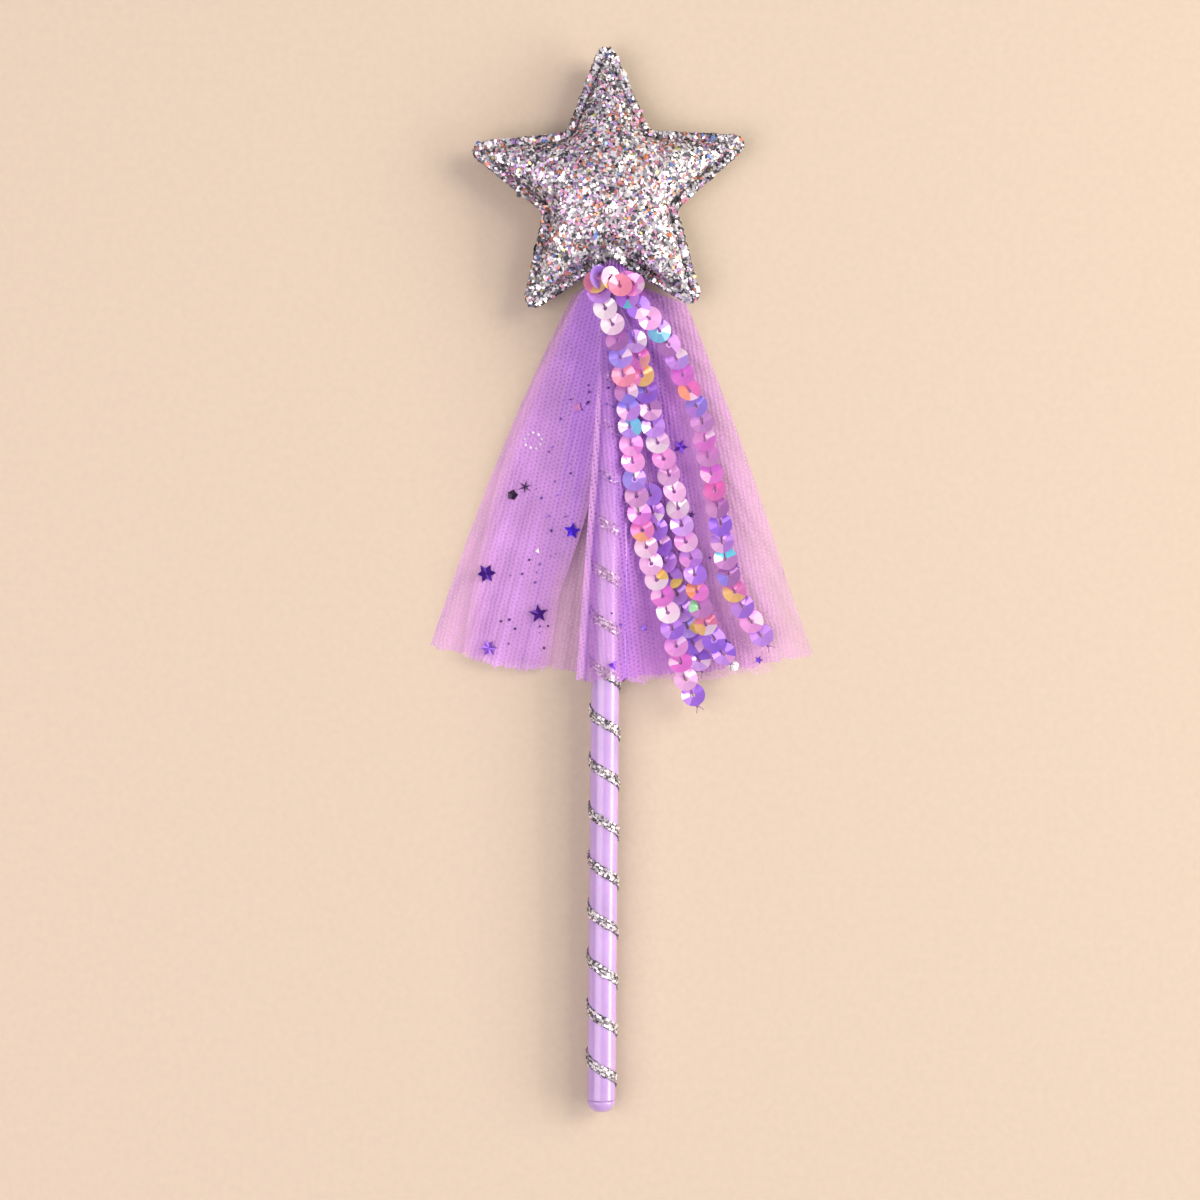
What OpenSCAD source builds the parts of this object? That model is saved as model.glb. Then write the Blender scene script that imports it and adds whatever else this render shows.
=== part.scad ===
// Toy magic wand lying on its back: a padded glitter star on a plastic stick that a ribbon winds
// round, with a gathered tulle skirt at the neck and four strands of sequins hanging over it.
// The origin is the middle of the star's flat back, +Y runs up the wand and +Z towards the viewer.

/* [Star] */
// Centre of the star to a rounded tip
star_tip_r = 40; // [36:0.5:46]
// Centre of the star to a valley between two arms
star_valley_r = 20.4; // [19.4:0.1:21.4]
// Rounding of a tip
star_tip_round = 2.8; // [2.4:0.1:3.6]
// Rounding of a valley
star_valley_round = 3; // [2:0.1:5]
// Turn of the star about its own axis, in degrees
star_turn = 2; // [-3:0.5:3]
// Height of the seam above the flat back
seam_h = 7; // [6.9:0.1:8]
// Height of the padded front above the seam
front_h = 10; // [8:0.5:14]
// Width of the flat welded rim
rim_w = 2.2; // [1.5:0.1:3]
// Thickness of one panel at the rim
rim_t = 1; // [0.6:0.1:1.4]
// Thickness of a panel's skin
skin_t = 0.8; // [0.5:0.1:1]

/* [Stick] */
// Outer diameter of the tube
tube_d = 8; // [7:0.1:8.2]
// Wall of the tube
tube_wall = 1; // [0.6:0.1:1.5]
// Length of the stick from the star's centre to the tube's lower end
stick_len = 258; // [230:1:300]
// How far the tube runs past the star's centre
tube_in = 8; // [4:0.5:12]
// Height of the end plug's dome
plug_dome_h = 3.6; // [2.5:0.1:6]
// Length of the end plug's spigot
plug_spigot_len = 10; // [6:0.5:16]

/* [Ribbon] */
// Width of the ribbon
ribbon_w = 2.7; // [2:0.1:4]
// Thickness of the ribbon
ribbon_t = 0.45; // [0.3:0.05:0.6]
// Rise of one turn along the stick
ribbon_pitch = 14; // [11:0.5:20]
// Star's centre to one place where the ribbon crosses the front of the stick
ribbon_front_at = 137; // [130:1:144]
// Bare stick between the ribbon and the lower end
ribbon_end_bare = 2.6; // [2:0.1:10]

/* [Skirt] */
// Length of the skirt from the bunched tulle to the hem
skirt_len = 110.5; // [100:0.5:124]
// Thickness of a tulle panel
tulle_t = 0.4; // [0.3:0.05:0.5]
// Height of a fold in a back panel
back_fold_h = 1.1; // [0.6:0.1:1.2]
// Height of a fold in a front panel
front_fold_h = 1.3; // [0.6:0.1:1.4]
// Length of the bunched tulle at the neck
gather_len = 4.5; // [4:0.1:5]
// Thickness of the bunched tulle round the stick
gather_t = 1.7; // [1.4:0.1:1.8]
// Width of the band round the bunched tulle
band_w = 2.4; // [1.5:0.1:3]
// Thickness of the band
band_t = 0.6; // [0.4:0.1:0.7]

/* [Strands] */
// Diameter of a sequin
sequin_d = 6.8; // [6:0.1:7]
// Diameter of a sequin's hole
sequin_hole = 1.4; // [1.3:0.1:1.8]
// Thickness of a sequin
sequin_t = 0.12; // [0.08:0.01:0.15]
// Height of a sequin's cupped rim
sequin_cup = 0.7; // [0.4:0.1:0.9]
// Step from one sequin to the next
sequin_pitch = 4.9; // [4.7:0.1:5.4]
// Tilt of a sequin against its thread, in degrees
sequin_tilt = 20; // [19:1:24]
// Diameter of a thread
thread_d = 0.3; // [0.2:0.05:0.32]
// Diameter of a knot at a strand's end
knot_d = 1.4; // [1:0.1:2]

/* [Confetti] */
// Tip to tip size of a large confetti star
confetti_d = 5.4; // [4:0.1:6]
// Thickness of a confetti star
confetti_t = 0.15; // [0.1:0.05:0.3]

/* [Fit] */
// Clearance of the tube in the padding and of the plug in the tube
fit_gap = 0.05; // [0.03:0.01:0.1]
// Room between the tube and the star's mouth
mouth_gap = 1; // [0.8:0.05:1.1]
// Clearance between soft pieces
soft_gap = 0.3; // [0.2:0.05:0.35]
// Clearance between the lowest soft piece and the floor
floor_gap = 0.15; // [0.1:0.05:0.2]

/* [Hidden] */
$fn = 48;

// How far a cut runs past what it cuts
overrun = 1;

// Outline of the star: tip and valley arcs joined by straight edges, as a radius for the angle
// from the nearest tip, drawn in by an inset
arm_half = 36;
tip_c = star_tip_r - star_tip_round;
valley_c = star_valley_r + star_valley_round;
edge_a = tip_c - valley_c * cos(arm_half);
edge_b = valley_c * sin(arm_half);
edge_dir = acos(-(star_tip_round + star_valley_round) / norm([edge_a, edge_b])) - atan2(edge_b, edge_a);
edge_off = tip_c * cos(edge_dir) + star_tip_round;
function tip_end(inset) = let (r = star_tip_round - inset)
    r > 0 ? atan2(r * sin(edge_dir), tip_c + r * cos(edge_dir)) : 0;
function valley_start(inset) = let (r = star_valley_round + inset)
    atan2(valley_c * sin(arm_half) - r * sin(edge_dir), valley_c * cos(arm_half) - r * cos(edge_dir));
function outline_r(t, inset) = let (rt = star_tip_round - inset, rv = star_valley_round + inset)
    t < tip_end(inset) ? tip_c * cos(t) + sqrt(max(0, rt * rt - pow(tip_c * sin(t), 2)))
    : t > valley_start(inset) ? valley_c * cos(arm_half - t)
        - sqrt(max(0, rv * rv - pow(valley_c * sin(arm_half - t), 2)))
    : (edge_off - inset) / cos(t - edge_dir);

// Stick
tube_r = tube_d / 2;
loop_rings = 24;
ribbon_in_r = (tube_r + fit_gap) / cos(180 / loop_rings);
ribbon_out_r = ribbon_in_r + ribbon_t;
ribbon_end_at = stick_len - ribbon_end_bare;
// The stick leans down until its last turn of ribbon rests on the floor.
stick_lean = asin((seam_h - ribbon_out_r - floor_gap) / ribbon_end_at);

// Neck
gather_in_r = tube_r + fit_gap;
gather_out_r = gather_in_r + gather_t;
gather_pleats = 18;
gather_pleat_share = 0.12;
band_in_r = gather_out_r + fit_gap;
band_out_r = band_in_r + band_t;
// Distance down the wand at which the two lower arms stand clear of the band
arms_clear_at = (edge_off + band_out_r * sin(edge_dir - arm_half)) / cos(edge_dir - arm_half)
    + band_out_r * sin(abs(star_turn));
gather_at = arms_clear_at + soft_gap;
skirt_top_at = gather_at + gather_len + soft_gap;
glue_in = rim_w / 3;
glue_t = mouth_gap / 2;
ribbon_start_at = skirt_top_at + ribbon_w;

// Height of the stick's axis over a place along the wand
function axis_z(y) = seam_h + y * tan(stick_lean);
function smooth(a, b, x) = let (t = min(1, max(0, (x - a) / (b - a)))) t * t * (3 - 2 * t);
function mix(a, b, t) = a + (b - a) * t;

// Local +Z runs down the stick from the star's centre, and local +Y is the stick's front.
module along_stick() {
    translate([0, 0, seam_h]) rotate([90 + stick_lean, 0, 0]) children();
}

module stick_tube() {
    color("plum") along_stick() translate([0, 0, -tube_in]) difference() {
        cylinder(r = tube_r, h = tube_in + stick_len);
        translate([0, 0, -overrun])
            cylinder(r = tube_r - tube_wall, h = tube_in + stick_len + 2 * overrun);
    }
}

// Domed cap whose spigot sits in the tube's lower end
module end_plug() {
    spigot_r = tube_r - tube_wall - fit_gap;
    dome_steps = 10;
    dome = [for (i = [0 : dome_steps]) let (a = 90 * i / dome_steps)
        [tube_r * cos(a), stick_len + plug_dome_h * sin(a)]];
    color("plum") along_stick() rotate_extrude() polygon(concat(
        [[0, stick_len - plug_spigot_len], [spigot_r, stick_len - plug_spigot_len], [spigot_r, stick_len]],
        dome));
}

// Triangles of a tube that joins rings of points, with both ends closed
function tube_faces(rings, sides) = concat(
    [for (i = [0 : rings - 2], j = [0 : sides - 1])
        let (k = (j + 1) % sides, a = i * sides, b = a + sides)
        each [[a + j, b + j, b + k], [a + j, b + k, a + k]]],
    [for (j = [1 : sides - 2]) [0, j, j + 1]],
    [for (j = [1 : sides - 2]) let (a = (rings - 1) * sides) [a, a + j + 1, a + j]]);

// The ribbon goes down from left to right across the front of the stick.
ribbon_half_rise = ribbon_w / 2 / cos(atan(ribbon_pitch / (PI * tube_d)));
ribbon_turns = (ribbon_end_at - ribbon_start_at - 2 * ribbon_half_rise) / ribbon_pitch;
ribbon_rings = floor(ribbon_turns * loop_rings);
function ribbon_at(i) = ribbon_start_at + ribbon_half_rise + ribbon_pitch * i / loop_rings;
function ribbon_angle(i) = 360 * (ribbon_at(i) - ribbon_front_at) / ribbon_pitch;
function ribbon_point(i, r, side) = let (a = ribbon_angle(i))
    [r * sin(a), r * cos(a), ribbon_at(i) + side * ribbon_half_rise];
ribbon_least_gap = min([for (i = [0 : ribbon_rings - loop_rings])
    norm(ribbon_point(i, ribbon_in_r, 1) - ribbon_point(i + loop_rings, ribbon_in_r, -1))]);

module glitter_ribbon() {
    echo(ribbon_least_gap = ribbon_least_gap);
    sides = 4;
    points = [for (i = [0 : ribbon_rings]) each [
        ribbon_point(i, ribbon_in_r, -1), ribbon_point(i, ribbon_out_r, -1),
        ribbon_point(i, ribbon_out_r, 1), ribbon_point(i, ribbon_in_r, 1)]];
    color("silver") along_stick() polyhedron(points, tube_faces(ribbon_rings + 1, sides));
}

// Sleeve of hot glue where the stick enters the star's mouth
module glue_bead() {
    color("lightgray") along_stick() translate([0, 0, star_valley_r - glue_in]) rotate_extrude()
        translate([tube_r + fit_gap, 0]) square([glue_t, gather_at - soft_gap - star_valley_r + glue_in]);
}

// Angles of a ring: each arm is sampled closely at its tip and valley.
arm_shares = [0, 0.054, 0.108, 0.25, 0.42, 0.54, 0.65, 0.76, 0.88, 0.94, 1];
arm_steps = len(arm_shares) - 1;
ring_angles = [for (k = [0 : 4], i = [0 : 2 * arm_steps - 1])
    let (share = i <= arm_steps ? arm_shares[i] : 2 - arm_shares[2 * arm_steps - i])
    [90 + star_turn + 72 * k + share * arm_half, min(share, 2 - share) * arm_half]];
ring_size = len(ring_angles);

// The mouth is a tunnel for the stick at the valley that faces down the wand.
mouth_r = tube_r + mouth_gap;
function arch(x, y, r) = y < 0 && abs(x) < r ? sqrt(r * r - x * x) : 0;

// Padded front: a flat rim, a steep wall and a dome whose level lines grow round towards the middle
wall_run = 0.9;
front_wall_skins = 2.2;
back_wall_skins = 2.4;
front_wall_h = rim_t + front_wall_skins * skin_t;
back_wall_h = rim_t + back_wall_skins * skin_t;
rim_edge_inset = 0.35;
wall_inset = rim_w + wall_run;
cavity_inset = rim_w + skin_t;
back_flat_inset = 6.2;
back_turn_inset = 4.4;
back_turn_share = 0.86;
// How far the round back is pressed flat by the floor
back_press = 0.2;
rim_edge_share = 0.6;
round_r_share = 0.62;
dome_shares = [0.88, 0.7, 0.5, 0.26];
inner_shares = [0.88, 0.5];
padding_gap = soft_gap;
function dome_r(t, share, inset) =
    share * mix(star_tip_r * round_r_share, outline_r(t, inset), pow(share, 0.7));
function dome_h(share) = mix(front_wall_h, front_h, pow(1 - share * share, 0.6));

// A ring at an inset, h above or below the seam; in the mouth it rises to an arch of radius r.
function rim_ring(inset, h, r, way) = [for (a = ring_angles)
    let (q = outline_r(a[1], inset), x = q * cos(a[0]), y = q * sin(a[0]))
    [x, y, seam_h + way * max(h, arch(x, y, r))]];
function dome_ring(share, inset, drop) = [for (a = ring_angles)
    let (q = dome_r(a[1], share, inset)) [q * cos(a[0]), q * sin(a[0]), seam_h + dome_h(share) - drop]];

// Closed solid through rings, with a point at each end
module loft(first, rings, last) {
    n = ring_size;
    top = 1 + len(rings) * n;
    polyhedron(
        concat([first], [for (r = rings) each r], [last]),
        concat(
            [for (j = [0 : n - 1]) [0, 1 + j, 1 + (j + 1) % n]],
            [for (i = [0 : len(rings) - 2], j = [0 : n - 1])
                let (k = (j + 1) % n, a = 1 + i * n, b = a + n)
                each [[a + j, b + j, b + k], [a + j, b + k, a + k]]],
            [for (j = [0 : n - 1]) [top, top - n + (j + 1) % n, top - n + j]]));
}

module star_front_panel() {
    skin_r = mouth_r + skin_t;
    inner = [for (i = [len(inner_shares) - 1 : -1 : 0])
        dome_ring(inner_shares[i], wall_inset + skin_t, skin_t)];
    outer = [for (share = dome_shares) dome_ring(share, wall_inset, 0)];
    color("silver") loft(
        [0, 0, seam_h + dome_h(0) - skin_t],
        concat(
            inner,
            [rim_ring(wall_inset + skin_t, front_wall_h - skin_t, mouth_r, 1),
                rim_ring(cavity_inset, 0, mouth_r, 1),
                rim_ring(0, 0, mouth_r, 1),
                rim_ring(0, rim_t * rim_edge_share, skin_r, 1),
                rim_ring(rim_edge_inset, rim_t, skin_r, 1),
                rim_ring(rim_w, rim_t, skin_r, 1),
                rim_ring(wall_inset, front_wall_h, skin_r, 1)],
            outer),
        [0, 0, seam_h + dome_h(0)]);
}

// Round back that lies flat on the floor in the middle
module star_back_panel() {
    skin_r = mouth_r + skin_t;
    turn_h = seam_h * back_turn_share;
    color("gainsboro") difference() {
        loft(
            [0, 0, -2 * back_press],
            [rim_ring(back_flat_inset, seam_h + back_press, 0, -1),
                rim_ring(back_turn_inset, turn_h, 0, -1),
                rim_ring(wall_inset, back_wall_h, skin_r, -1),
                rim_ring(rim_w, rim_t, skin_r, -1),
                rim_ring(rim_edge_inset, rim_t, skin_r, -1),
                rim_ring(0, rim_t * rim_edge_share, skin_r, -1),
                rim_ring(0, 0, mouth_r, -1),
                rim_ring(cavity_inset, 0, mouth_r, -1),
                rim_ring(wall_inset + skin_t, back_wall_h - skin_t, mouth_r, -1),
                rim_ring(back_turn_inset + skin_t, turn_h - skin_t, 0, -1),
                rim_ring(back_flat_inset + skin_t, seam_h - skin_t, 0, -1)],
            [0, 0, skin_t]);
        translate([-star_tip_r, -star_tip_r, -overrun])
            cube([2 * star_tip_r, 2 * star_tip_r, overrun]);
    }
}

// Wadding that fills the star, with a socket for the tube
module star_padding() {
    turn_h = seam_h * back_turn_share;
    far = skin_t + padding_gap;
    color("white") difference() {
        loft(
            [0, 0, far],
            concat(
                [rim_ring(back_flat_inset + far, seam_h - far, 0, -1),
                    rim_ring(back_turn_inset + far, turn_h - far, 0, -1),
                    rim_ring(wall_inset + far, back_wall_h - far, 0, -1),
                    rim_ring(cavity_inset + padding_gap, 0, 0, 1),
                    rim_ring(wall_inset + far, front_wall_h - far, 0, 1)],
                [for (share = inner_shares) dome_ring(share, wall_inset + far, far)]),
            [0, 0, seam_h + dome_h(0) - far]);
        along_stick() translate([0, 0, -tube_in - fit_gap])
            cylinder(r = tube_r + fit_gap, h = tube_in + star_tip_r);
    }
}

// Tops of all the tulle panels, bunched in pleats round the stick
module tulle_gather() {
    steps = 6;
    depth = gather_t * gather_pleat_share;
    ring = [for (i = [0 : gather_pleats * steps - 1])
        let (a = 360 * i / (gather_pleats * steps),
            r = gather_out_r - depth * (1 + cos(a * gather_pleats)) / 2)
        [r * cos(a), r * sin(a)]];
    color("thistle") along_stick() translate([0, 0, gather_at]) difference() {
        linear_extrude(gather_len) polygon(ring);
        translate([0, 0, -overrun]) cylinder(r = gather_in_r, h = gather_len + 2 * overrun);
    }
}

// Elastic band that holds the bunched tulle on the stick
module neck_band() {
    color("orchid") along_stick() translate([0, 0, gather_at + (gather_len - band_w) / 2])
        rotate_extrude() translate([band_in_r, 0]) square([band_t, band_w]);
}

// Skirt panels: each is a height over the floor between two top corners and two hem corners,
// given as shares of the skirt's length from the middle of its top edge.
panel_across = 26;
panel_along = 10;
hem_bow_share = 0.012;
hump_tubes = 2;
hump_fall = 0.9;
under_stick_tubes = 1.3;
hump_half_w = hump_tubes * tube_d;
under_stick_half_w = under_stick_tubes * tube_d;
back_z = floor_gap;
front_z = back_z + tulle_t + back_fold_h + soft_gap;
hump_top_gap = 2 * soft_gap;
back_left_shares = [[-0.093, -0.004], [-0.006, 0], [-0.451, -0.91], [-0.006, -0.973]];
back_right_shares = [[0.006, 0], [0.2, -0.02], [0.006, -0.986], [0.536, -0.928]];
front_left_shares = [[-0.075, -0.004], [-0.018, 0], [-0.368, -0.936], [-0.138, -0.969]];
front_right_shares = [[-0.01, 0], [0.136, -0.027], [-0.074, -0.991], [0.433, -0.971]];
// Pleats of the panels that would fill a whole turn round the neck, and the angle of one of them
back_pleats = 45;
front_pleats = 60;
front_pleat_angle = 1;

function skirt_angle(x, y) = atan2(x, -gather_at - y);
function skirt_share(x, y) = min(1, norm([x, y + gather_at]) / skirt_len);
function pleat(x, y, pleats, start) =
    (1 + cos(pleats * (skirt_angle(x, y) - start))) / 2 * skirt_share(x, y);
function back_height(x, y) = back_z
    + back_fold_h * pleat(x, y, back_pleats, 0) * smooth(tube_r, under_stick_half_w, abs(x));
function stick_hump(x, y) = let (top = axis_z(y) + ribbon_out_r + hump_top_gap)
    (top - front_z) * exp(-pow(x / hump_half_w * 2, 2) * hump_fall);
function front_height(x, y) = front_z + stick_hump(x, y)
    + front_fold_h * pleat(x, y, front_pleats, front_pleat_angle)
        * smooth(tube_r, under_stick_half_w, abs(x));

function panel_xy(shares, u, v) = let (
        top = mix(shares[0], shares[1], u), hem = mix(shares[2], shares[3], u),
        bow = [0, -hem_bow_share * 4 * u * (1 - u) * v])
    [0, -skirt_top_at] + skirt_len * (mix(top, hem, v) + bow);
function panel_point(shares, front, u, v) = let (p = panel_xy(shares, u, v))
    [p[0], p[1], front ? front_height(p[0], p[1]) : back_height(p[0], p[1])];

module tulle_panel(shares, front) {
    m = panel_across;
    n = panel_along;
    low = [for (j = [0 : n], i = [0 : m]) panel_point(shares, front, i / m, j / n)];
    count = len(low);
    edge = concat(
        [for (i = [0 : m - 1]) i],
        [for (j = [0 : n - 1]) j * (m + 1) + m],
        [for (i = [m : -1 : 1]) n * (m + 1) + i],
        [for (j = [n : -1 : 1]) j * (m + 1)]);
    cells = [for (j = [0 : n - 1], i = [0 : m - 1]) let (a = j * (m + 1) + i, b = a + m + 1)
        each [[a, a + 1, b + 1], [a, b + 1, b]]];
    polyhedron(
        concat(low, [for (p = low) p + [0, 0, tulle_t]]),
        concat(
            [for (f = cells) [f[2], f[1], f[0]]],
            [for (f = cells) [for (i = f) i + count]],
            [for (i = [0 : len(edge) - 1]) let (a = edge[i], b = edge[(i + 1) % len(edge)])
                each [[a, b, b + count], [a, b + count, a + count]]]));
}

module tulle_back_left() { color("thistle", 0.7) tulle_panel(back_left_shares, false); }
module tulle_back_right() { color("thistle", 0.7) tulle_panel(back_right_shares, false); }
module tulle_front_left() { color("plum", 0.7) tulle_panel(front_left_shares, true); }
module tulle_front_right() { color("plum", 0.7) tulle_panel(front_right_shares, true); }

// Confetti stars glued on the front panels: place as shares of the skirt's length from its top,
// size as a share of the large star, and turn in degrees
confetti_points = 5;
confetti_valley_share = 0.46;
confetti_left_shares = [
    [-0.09, -0.605, 0.85, 10], [-0.305, -0.715, 1, 25], [-0.173, -0.817, 1, 5], [-0.3, -0.9, 0.9, 40],
    [-0.22, -0.52, 0.7, 15], [-0.08, -0.29, 0.6, 30], [-0.16, -0.37, 0.6, 0]];
confetti_right_shares = [[0.19, -0.385, 0.75, 20], [0.33, -0.92, 0.8, 12]];

module confetti_star(size) {
    outline = [for (i = [0 : 2 * confetti_points - 1])
        let (r = size / 2 * (i % 2 == 0 ? 1 : confetti_valley_share), a = 180 * i / confetti_points)
        [r * sin(a), r * cos(a)]];
    linear_extrude(confetti_t) polygon(outline);
}

module confetti(shares) {
    for (c = shares) {
        x = c[0] * skirt_len;
        y = c[1] * skirt_len - skirt_top_at;
        r = c[2] * confetti_d / 2;
        slope = [front_height(x + r, y) - front_height(x - r, y),
            front_height(x, y + r) - front_height(x, y - r)] / (2 * r);
        lift = max([for (q = [0, r / 2, r], a = [0 : 45 : 315])
            let (d = q * [cos(a), sin(a)]) front_height(x + d[0], y + d[1]) - slope * d]);
        translate([x, y, lift + tulle_t + fit_gap])
            rotate(atan(norm(slope)), [slope[1], -slope[0], 0]) rotate([0, 0, c[3]]) confetti_star(2 * r);
    }
}

module confetti_left() { color("indigo") confetti(confetti_left_shares); }
module confetti_right() { color("indigo") confetti(confetti_right_shares); }

// Strands: route points of each thread from the neck to its end
left_route = [
    [-5, -23.5, 14], [-5, -27.5, 14.25], [-3, -30.5, 14], [-1, -34, 13.5], [0.5, -37, 13.5],
    [2.5, -42, 13.25], [4, -51, 12.75], [5.5, -58, 12], [6, -65, 11.25], [7, -75, 10.5],
    [8, -84, 9.5], [9.5, -94, 8.25], [12, -104, 6.75], [15, -112, 6.75], [17.5, -119, 6.75],
    [20, -129, 7], [22.5, -138, 6.75], [25, -143, 6.25], [28, -150.5, 5.5]];
under_route = [
    [-0.75, -23.5, 14.5], [-0.5, -28, 13.75], [0.75, -31, 13], [3.5, -35, 11.5], [6, -40, 9.5], [7, -46, 8],
    [8, -53, 7], [9, -60, 6.5], [10, -68, 6], [11, -77, 6], [12.5, -88, 5.75], [14.5, -98, 4.75],
    [17, -106, 4.5], [20, -114, 4.5], [22.5, -121, 4.75], [25, -129, 4.75], [28, -137, 4.75]];
middle_route = [
    [0.5, -23.5, 14], [0.5, -27, 13.75], [1.5, -31, 13.25], [4.5, -36, 12], [7.5, -42, 10.25], [9, -50, 9],
    [11, -57, 7.75], [12.5, -66, 6.25], [15, -74, 5.25], [18.5, -82, 4.5], [20.5, -91, 4.25],
    [22.5, -100, 4.25], [25, -107, 4.75], [26, -116, 6.25], [28, -123, 6.5], [32, -129, 6.25],
    [37, -136, 5]];
right_route = [
    [4, -23.5, 14], [4, -27.5, 13.75], [6, -31.5, 13], [10, -35, 10.5], [14, -39, 7.5], [18, -44, 5.5],
    [20, -50, 4.5], [23, -56, 4], [26, -62, 4], [27.5, -69, 4], [29, -77, 4], [31, -86, 4],
    [32.5, -96, 4.5], [34, -106, 4.25], [36, -113, 4], [40, -120, 4], [44, -126, 4],
    [49.5, -132, 4]];

// Smooth curve through a route, then a chain of straight links two sequins long
curve_steps = 8;
function curve(p, i, t) = let (
        a = p[max(0, i - 1)], b = p[i], c = p[i + 1], d = p[min(len(p) - 1, i + 2)])
    b + ((c - a) * t + (2 * a - 5 * b + 4 * c - d) * t * t + (3 * b - a - 3 * c + d) * t * t * t) / 2;
function curve_points(p) = concat(
    [for (i = [0 : len(p) - 2], s = [0 : curve_steps - 1]) curve(p, i, s / curve_steps)],
    [p[len(p) - 1]]);
function lengths(p, i = 0, sum = 0) = i >= len(p) ? []
    : let (s = sum + (i == 0 ? 0 : norm(p[i] - p[i - 1]))) concat([s], lengths(p, i + 1, s));
function along(p, s, at) = [for (k = [0 : 2]) lookup(at, [for (i = [0 : len(p) - 1]) [s[i], p[i][k]]])];
link = 2 * sequin_pitch;
function chain(route) = let (p = curve_points(route), s = lengths(p), n = floor(s[len(s) - 1] / link))
    [for (i = [0 : n]) along(p, s, i * link)];

function unit(v) = v / norm(v);
module thread(points) {
    sides = 8;
    last = len(points) - 1;
    rings = [for (i = [0 : last])
        let (way = unit(points[min(last, i + 1)] - points[max(0, i - 1)]),
            across = unit(cross([0, 0, 1], way)), up = cross(way, across))
        for (j = [0 : sides - 1]) let (a = 360 * j / sides)
            points[i] + thread_d / 2 * (cos(a) * across + sin(a) * up)];
    color("white") polyhedron(rings, tube_faces(last + 1, sides));
}

// Cupped disc with a hole: its flat middle is half as wide as its rim.
module sequin() {
    flat_r = sequin_d / 4;
    hole_r = sequin_hole / 2;
    rotate_extrude() polygon([
        [hole_r, -sequin_t / 2], [flat_r, -sequin_t / 2], [sequin_d / 2, sequin_cup - sequin_t / 2],
        [sequin_d / 2, sequin_cup + sequin_t / 2], [flat_r, sequin_t / 2], [hole_r, sequin_t / 2]]);
}

// Two sequins on each link from a first one on, each lying over the next one down
module sequins(points, first, tint) {
    color(tint) for (i = [0 : len(points) - 2], half = [0, 1]) if (2 * i + half >= first) {
        way = unit(points[i + 1] - points[i]);
        translate(mix(points[i], points[i + 1], (half + 0.5) / 2))
            rotate([0, -asin(way[2]) - sequin_tilt, atan2(way[1], way[0])]) sequin();
    }
}

module end_knot(points) {
    last = len(points) - 1;
    way = unit(points[last] - points[last - 1]);
    color("white") translate(points[last] + way * (knot_d / 2 + fit_gap)) sphere(d = knot_d);
}

left_chain = chain(left_route);
under_chain = chain(under_route);
middle_chain = chain(middle_route);
right_chain = chain(right_route);
// Number of the first sequin on each thread
left_first = 0;
under_first = 13;
middle_first = 4;
right_first = 0;

module left_thread() { thread(left_chain); }
module left_sequins() { sequins(left_chain, left_first, "violet"); }
module left_knot() { end_knot(left_chain); }
module under_thread() { thread(under_chain); }
module under_sequins() { sequins(under_chain, under_first, "mediumpurple"); }
module under_knot() { end_knot(under_chain); }
module middle_thread() { thread(middle_chain); }
module middle_sequins() { sequins(middle_chain, middle_first, "orchid"); }
module middle_knot() { end_knot(middle_chain); }
module right_thread() { thread(right_chain); }
module right_sequins() { sequins(right_chain, right_first, "violet"); }
module right_knot() { end_knot(right_chain); }

stick_tube();
end_plug();
glitter_ribbon();
glue_bead();
star_front_panel();
star_back_panel();
star_padding();
tulle_gather();
neck_band();
tulle_back_left();
tulle_back_right();
tulle_front_left();
tulle_front_right();
confetti_left();
confetti_right();
left_thread();
left_sequins();
left_knot();
under_thread();
under_sequins();
under_knot();
middle_thread();
middle_sequins();
middle_knot();
right_thread();
right_sequins();
right_knot();
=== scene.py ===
"""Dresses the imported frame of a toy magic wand: its finishes, its soft pieces and its stage."""

import math

import bpy
import numpy as np
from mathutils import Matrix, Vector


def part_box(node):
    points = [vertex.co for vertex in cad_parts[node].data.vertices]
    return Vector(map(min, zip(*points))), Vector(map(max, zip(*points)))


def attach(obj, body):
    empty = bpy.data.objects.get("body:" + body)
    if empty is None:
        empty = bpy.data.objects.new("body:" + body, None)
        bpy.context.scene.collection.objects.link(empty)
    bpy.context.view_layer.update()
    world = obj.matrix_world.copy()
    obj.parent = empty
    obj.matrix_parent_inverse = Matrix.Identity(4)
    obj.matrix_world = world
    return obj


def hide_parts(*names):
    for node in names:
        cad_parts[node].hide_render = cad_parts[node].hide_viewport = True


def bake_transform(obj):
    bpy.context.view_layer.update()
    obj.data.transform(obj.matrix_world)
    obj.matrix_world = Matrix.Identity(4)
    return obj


bl_info = {
    "name": "Toy magic wand",
    "version": (1, 0, 0),
    "blender": (4, 5, 0),
    "location": "View3D > Sidebar > Wand",
    "description": "Dresses the packed frame of a star wand with glitter, net, sequins and ribbon",
    "category": "Add Mesh",
}

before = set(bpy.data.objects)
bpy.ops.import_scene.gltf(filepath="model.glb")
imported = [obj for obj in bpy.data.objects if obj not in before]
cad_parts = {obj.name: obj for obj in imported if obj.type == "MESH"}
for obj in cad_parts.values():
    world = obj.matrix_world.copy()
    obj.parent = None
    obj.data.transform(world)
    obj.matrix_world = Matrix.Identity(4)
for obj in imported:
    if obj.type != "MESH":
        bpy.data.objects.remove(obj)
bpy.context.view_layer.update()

MM = 0.001
TAU = 2 * math.pi
ARM_HALF = math.radians(36)
ARMS = 5
# Arm whose next valley is the folded one over the stick
FOLDED_ARM = 2
# Seeds of the random draws of each group of pieces; each strand adds its own number to the last one
SEEDS = {"star": 5, "ribbon": 11, "skirt": 23, "confetti": 31, "strands": 41}

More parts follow.
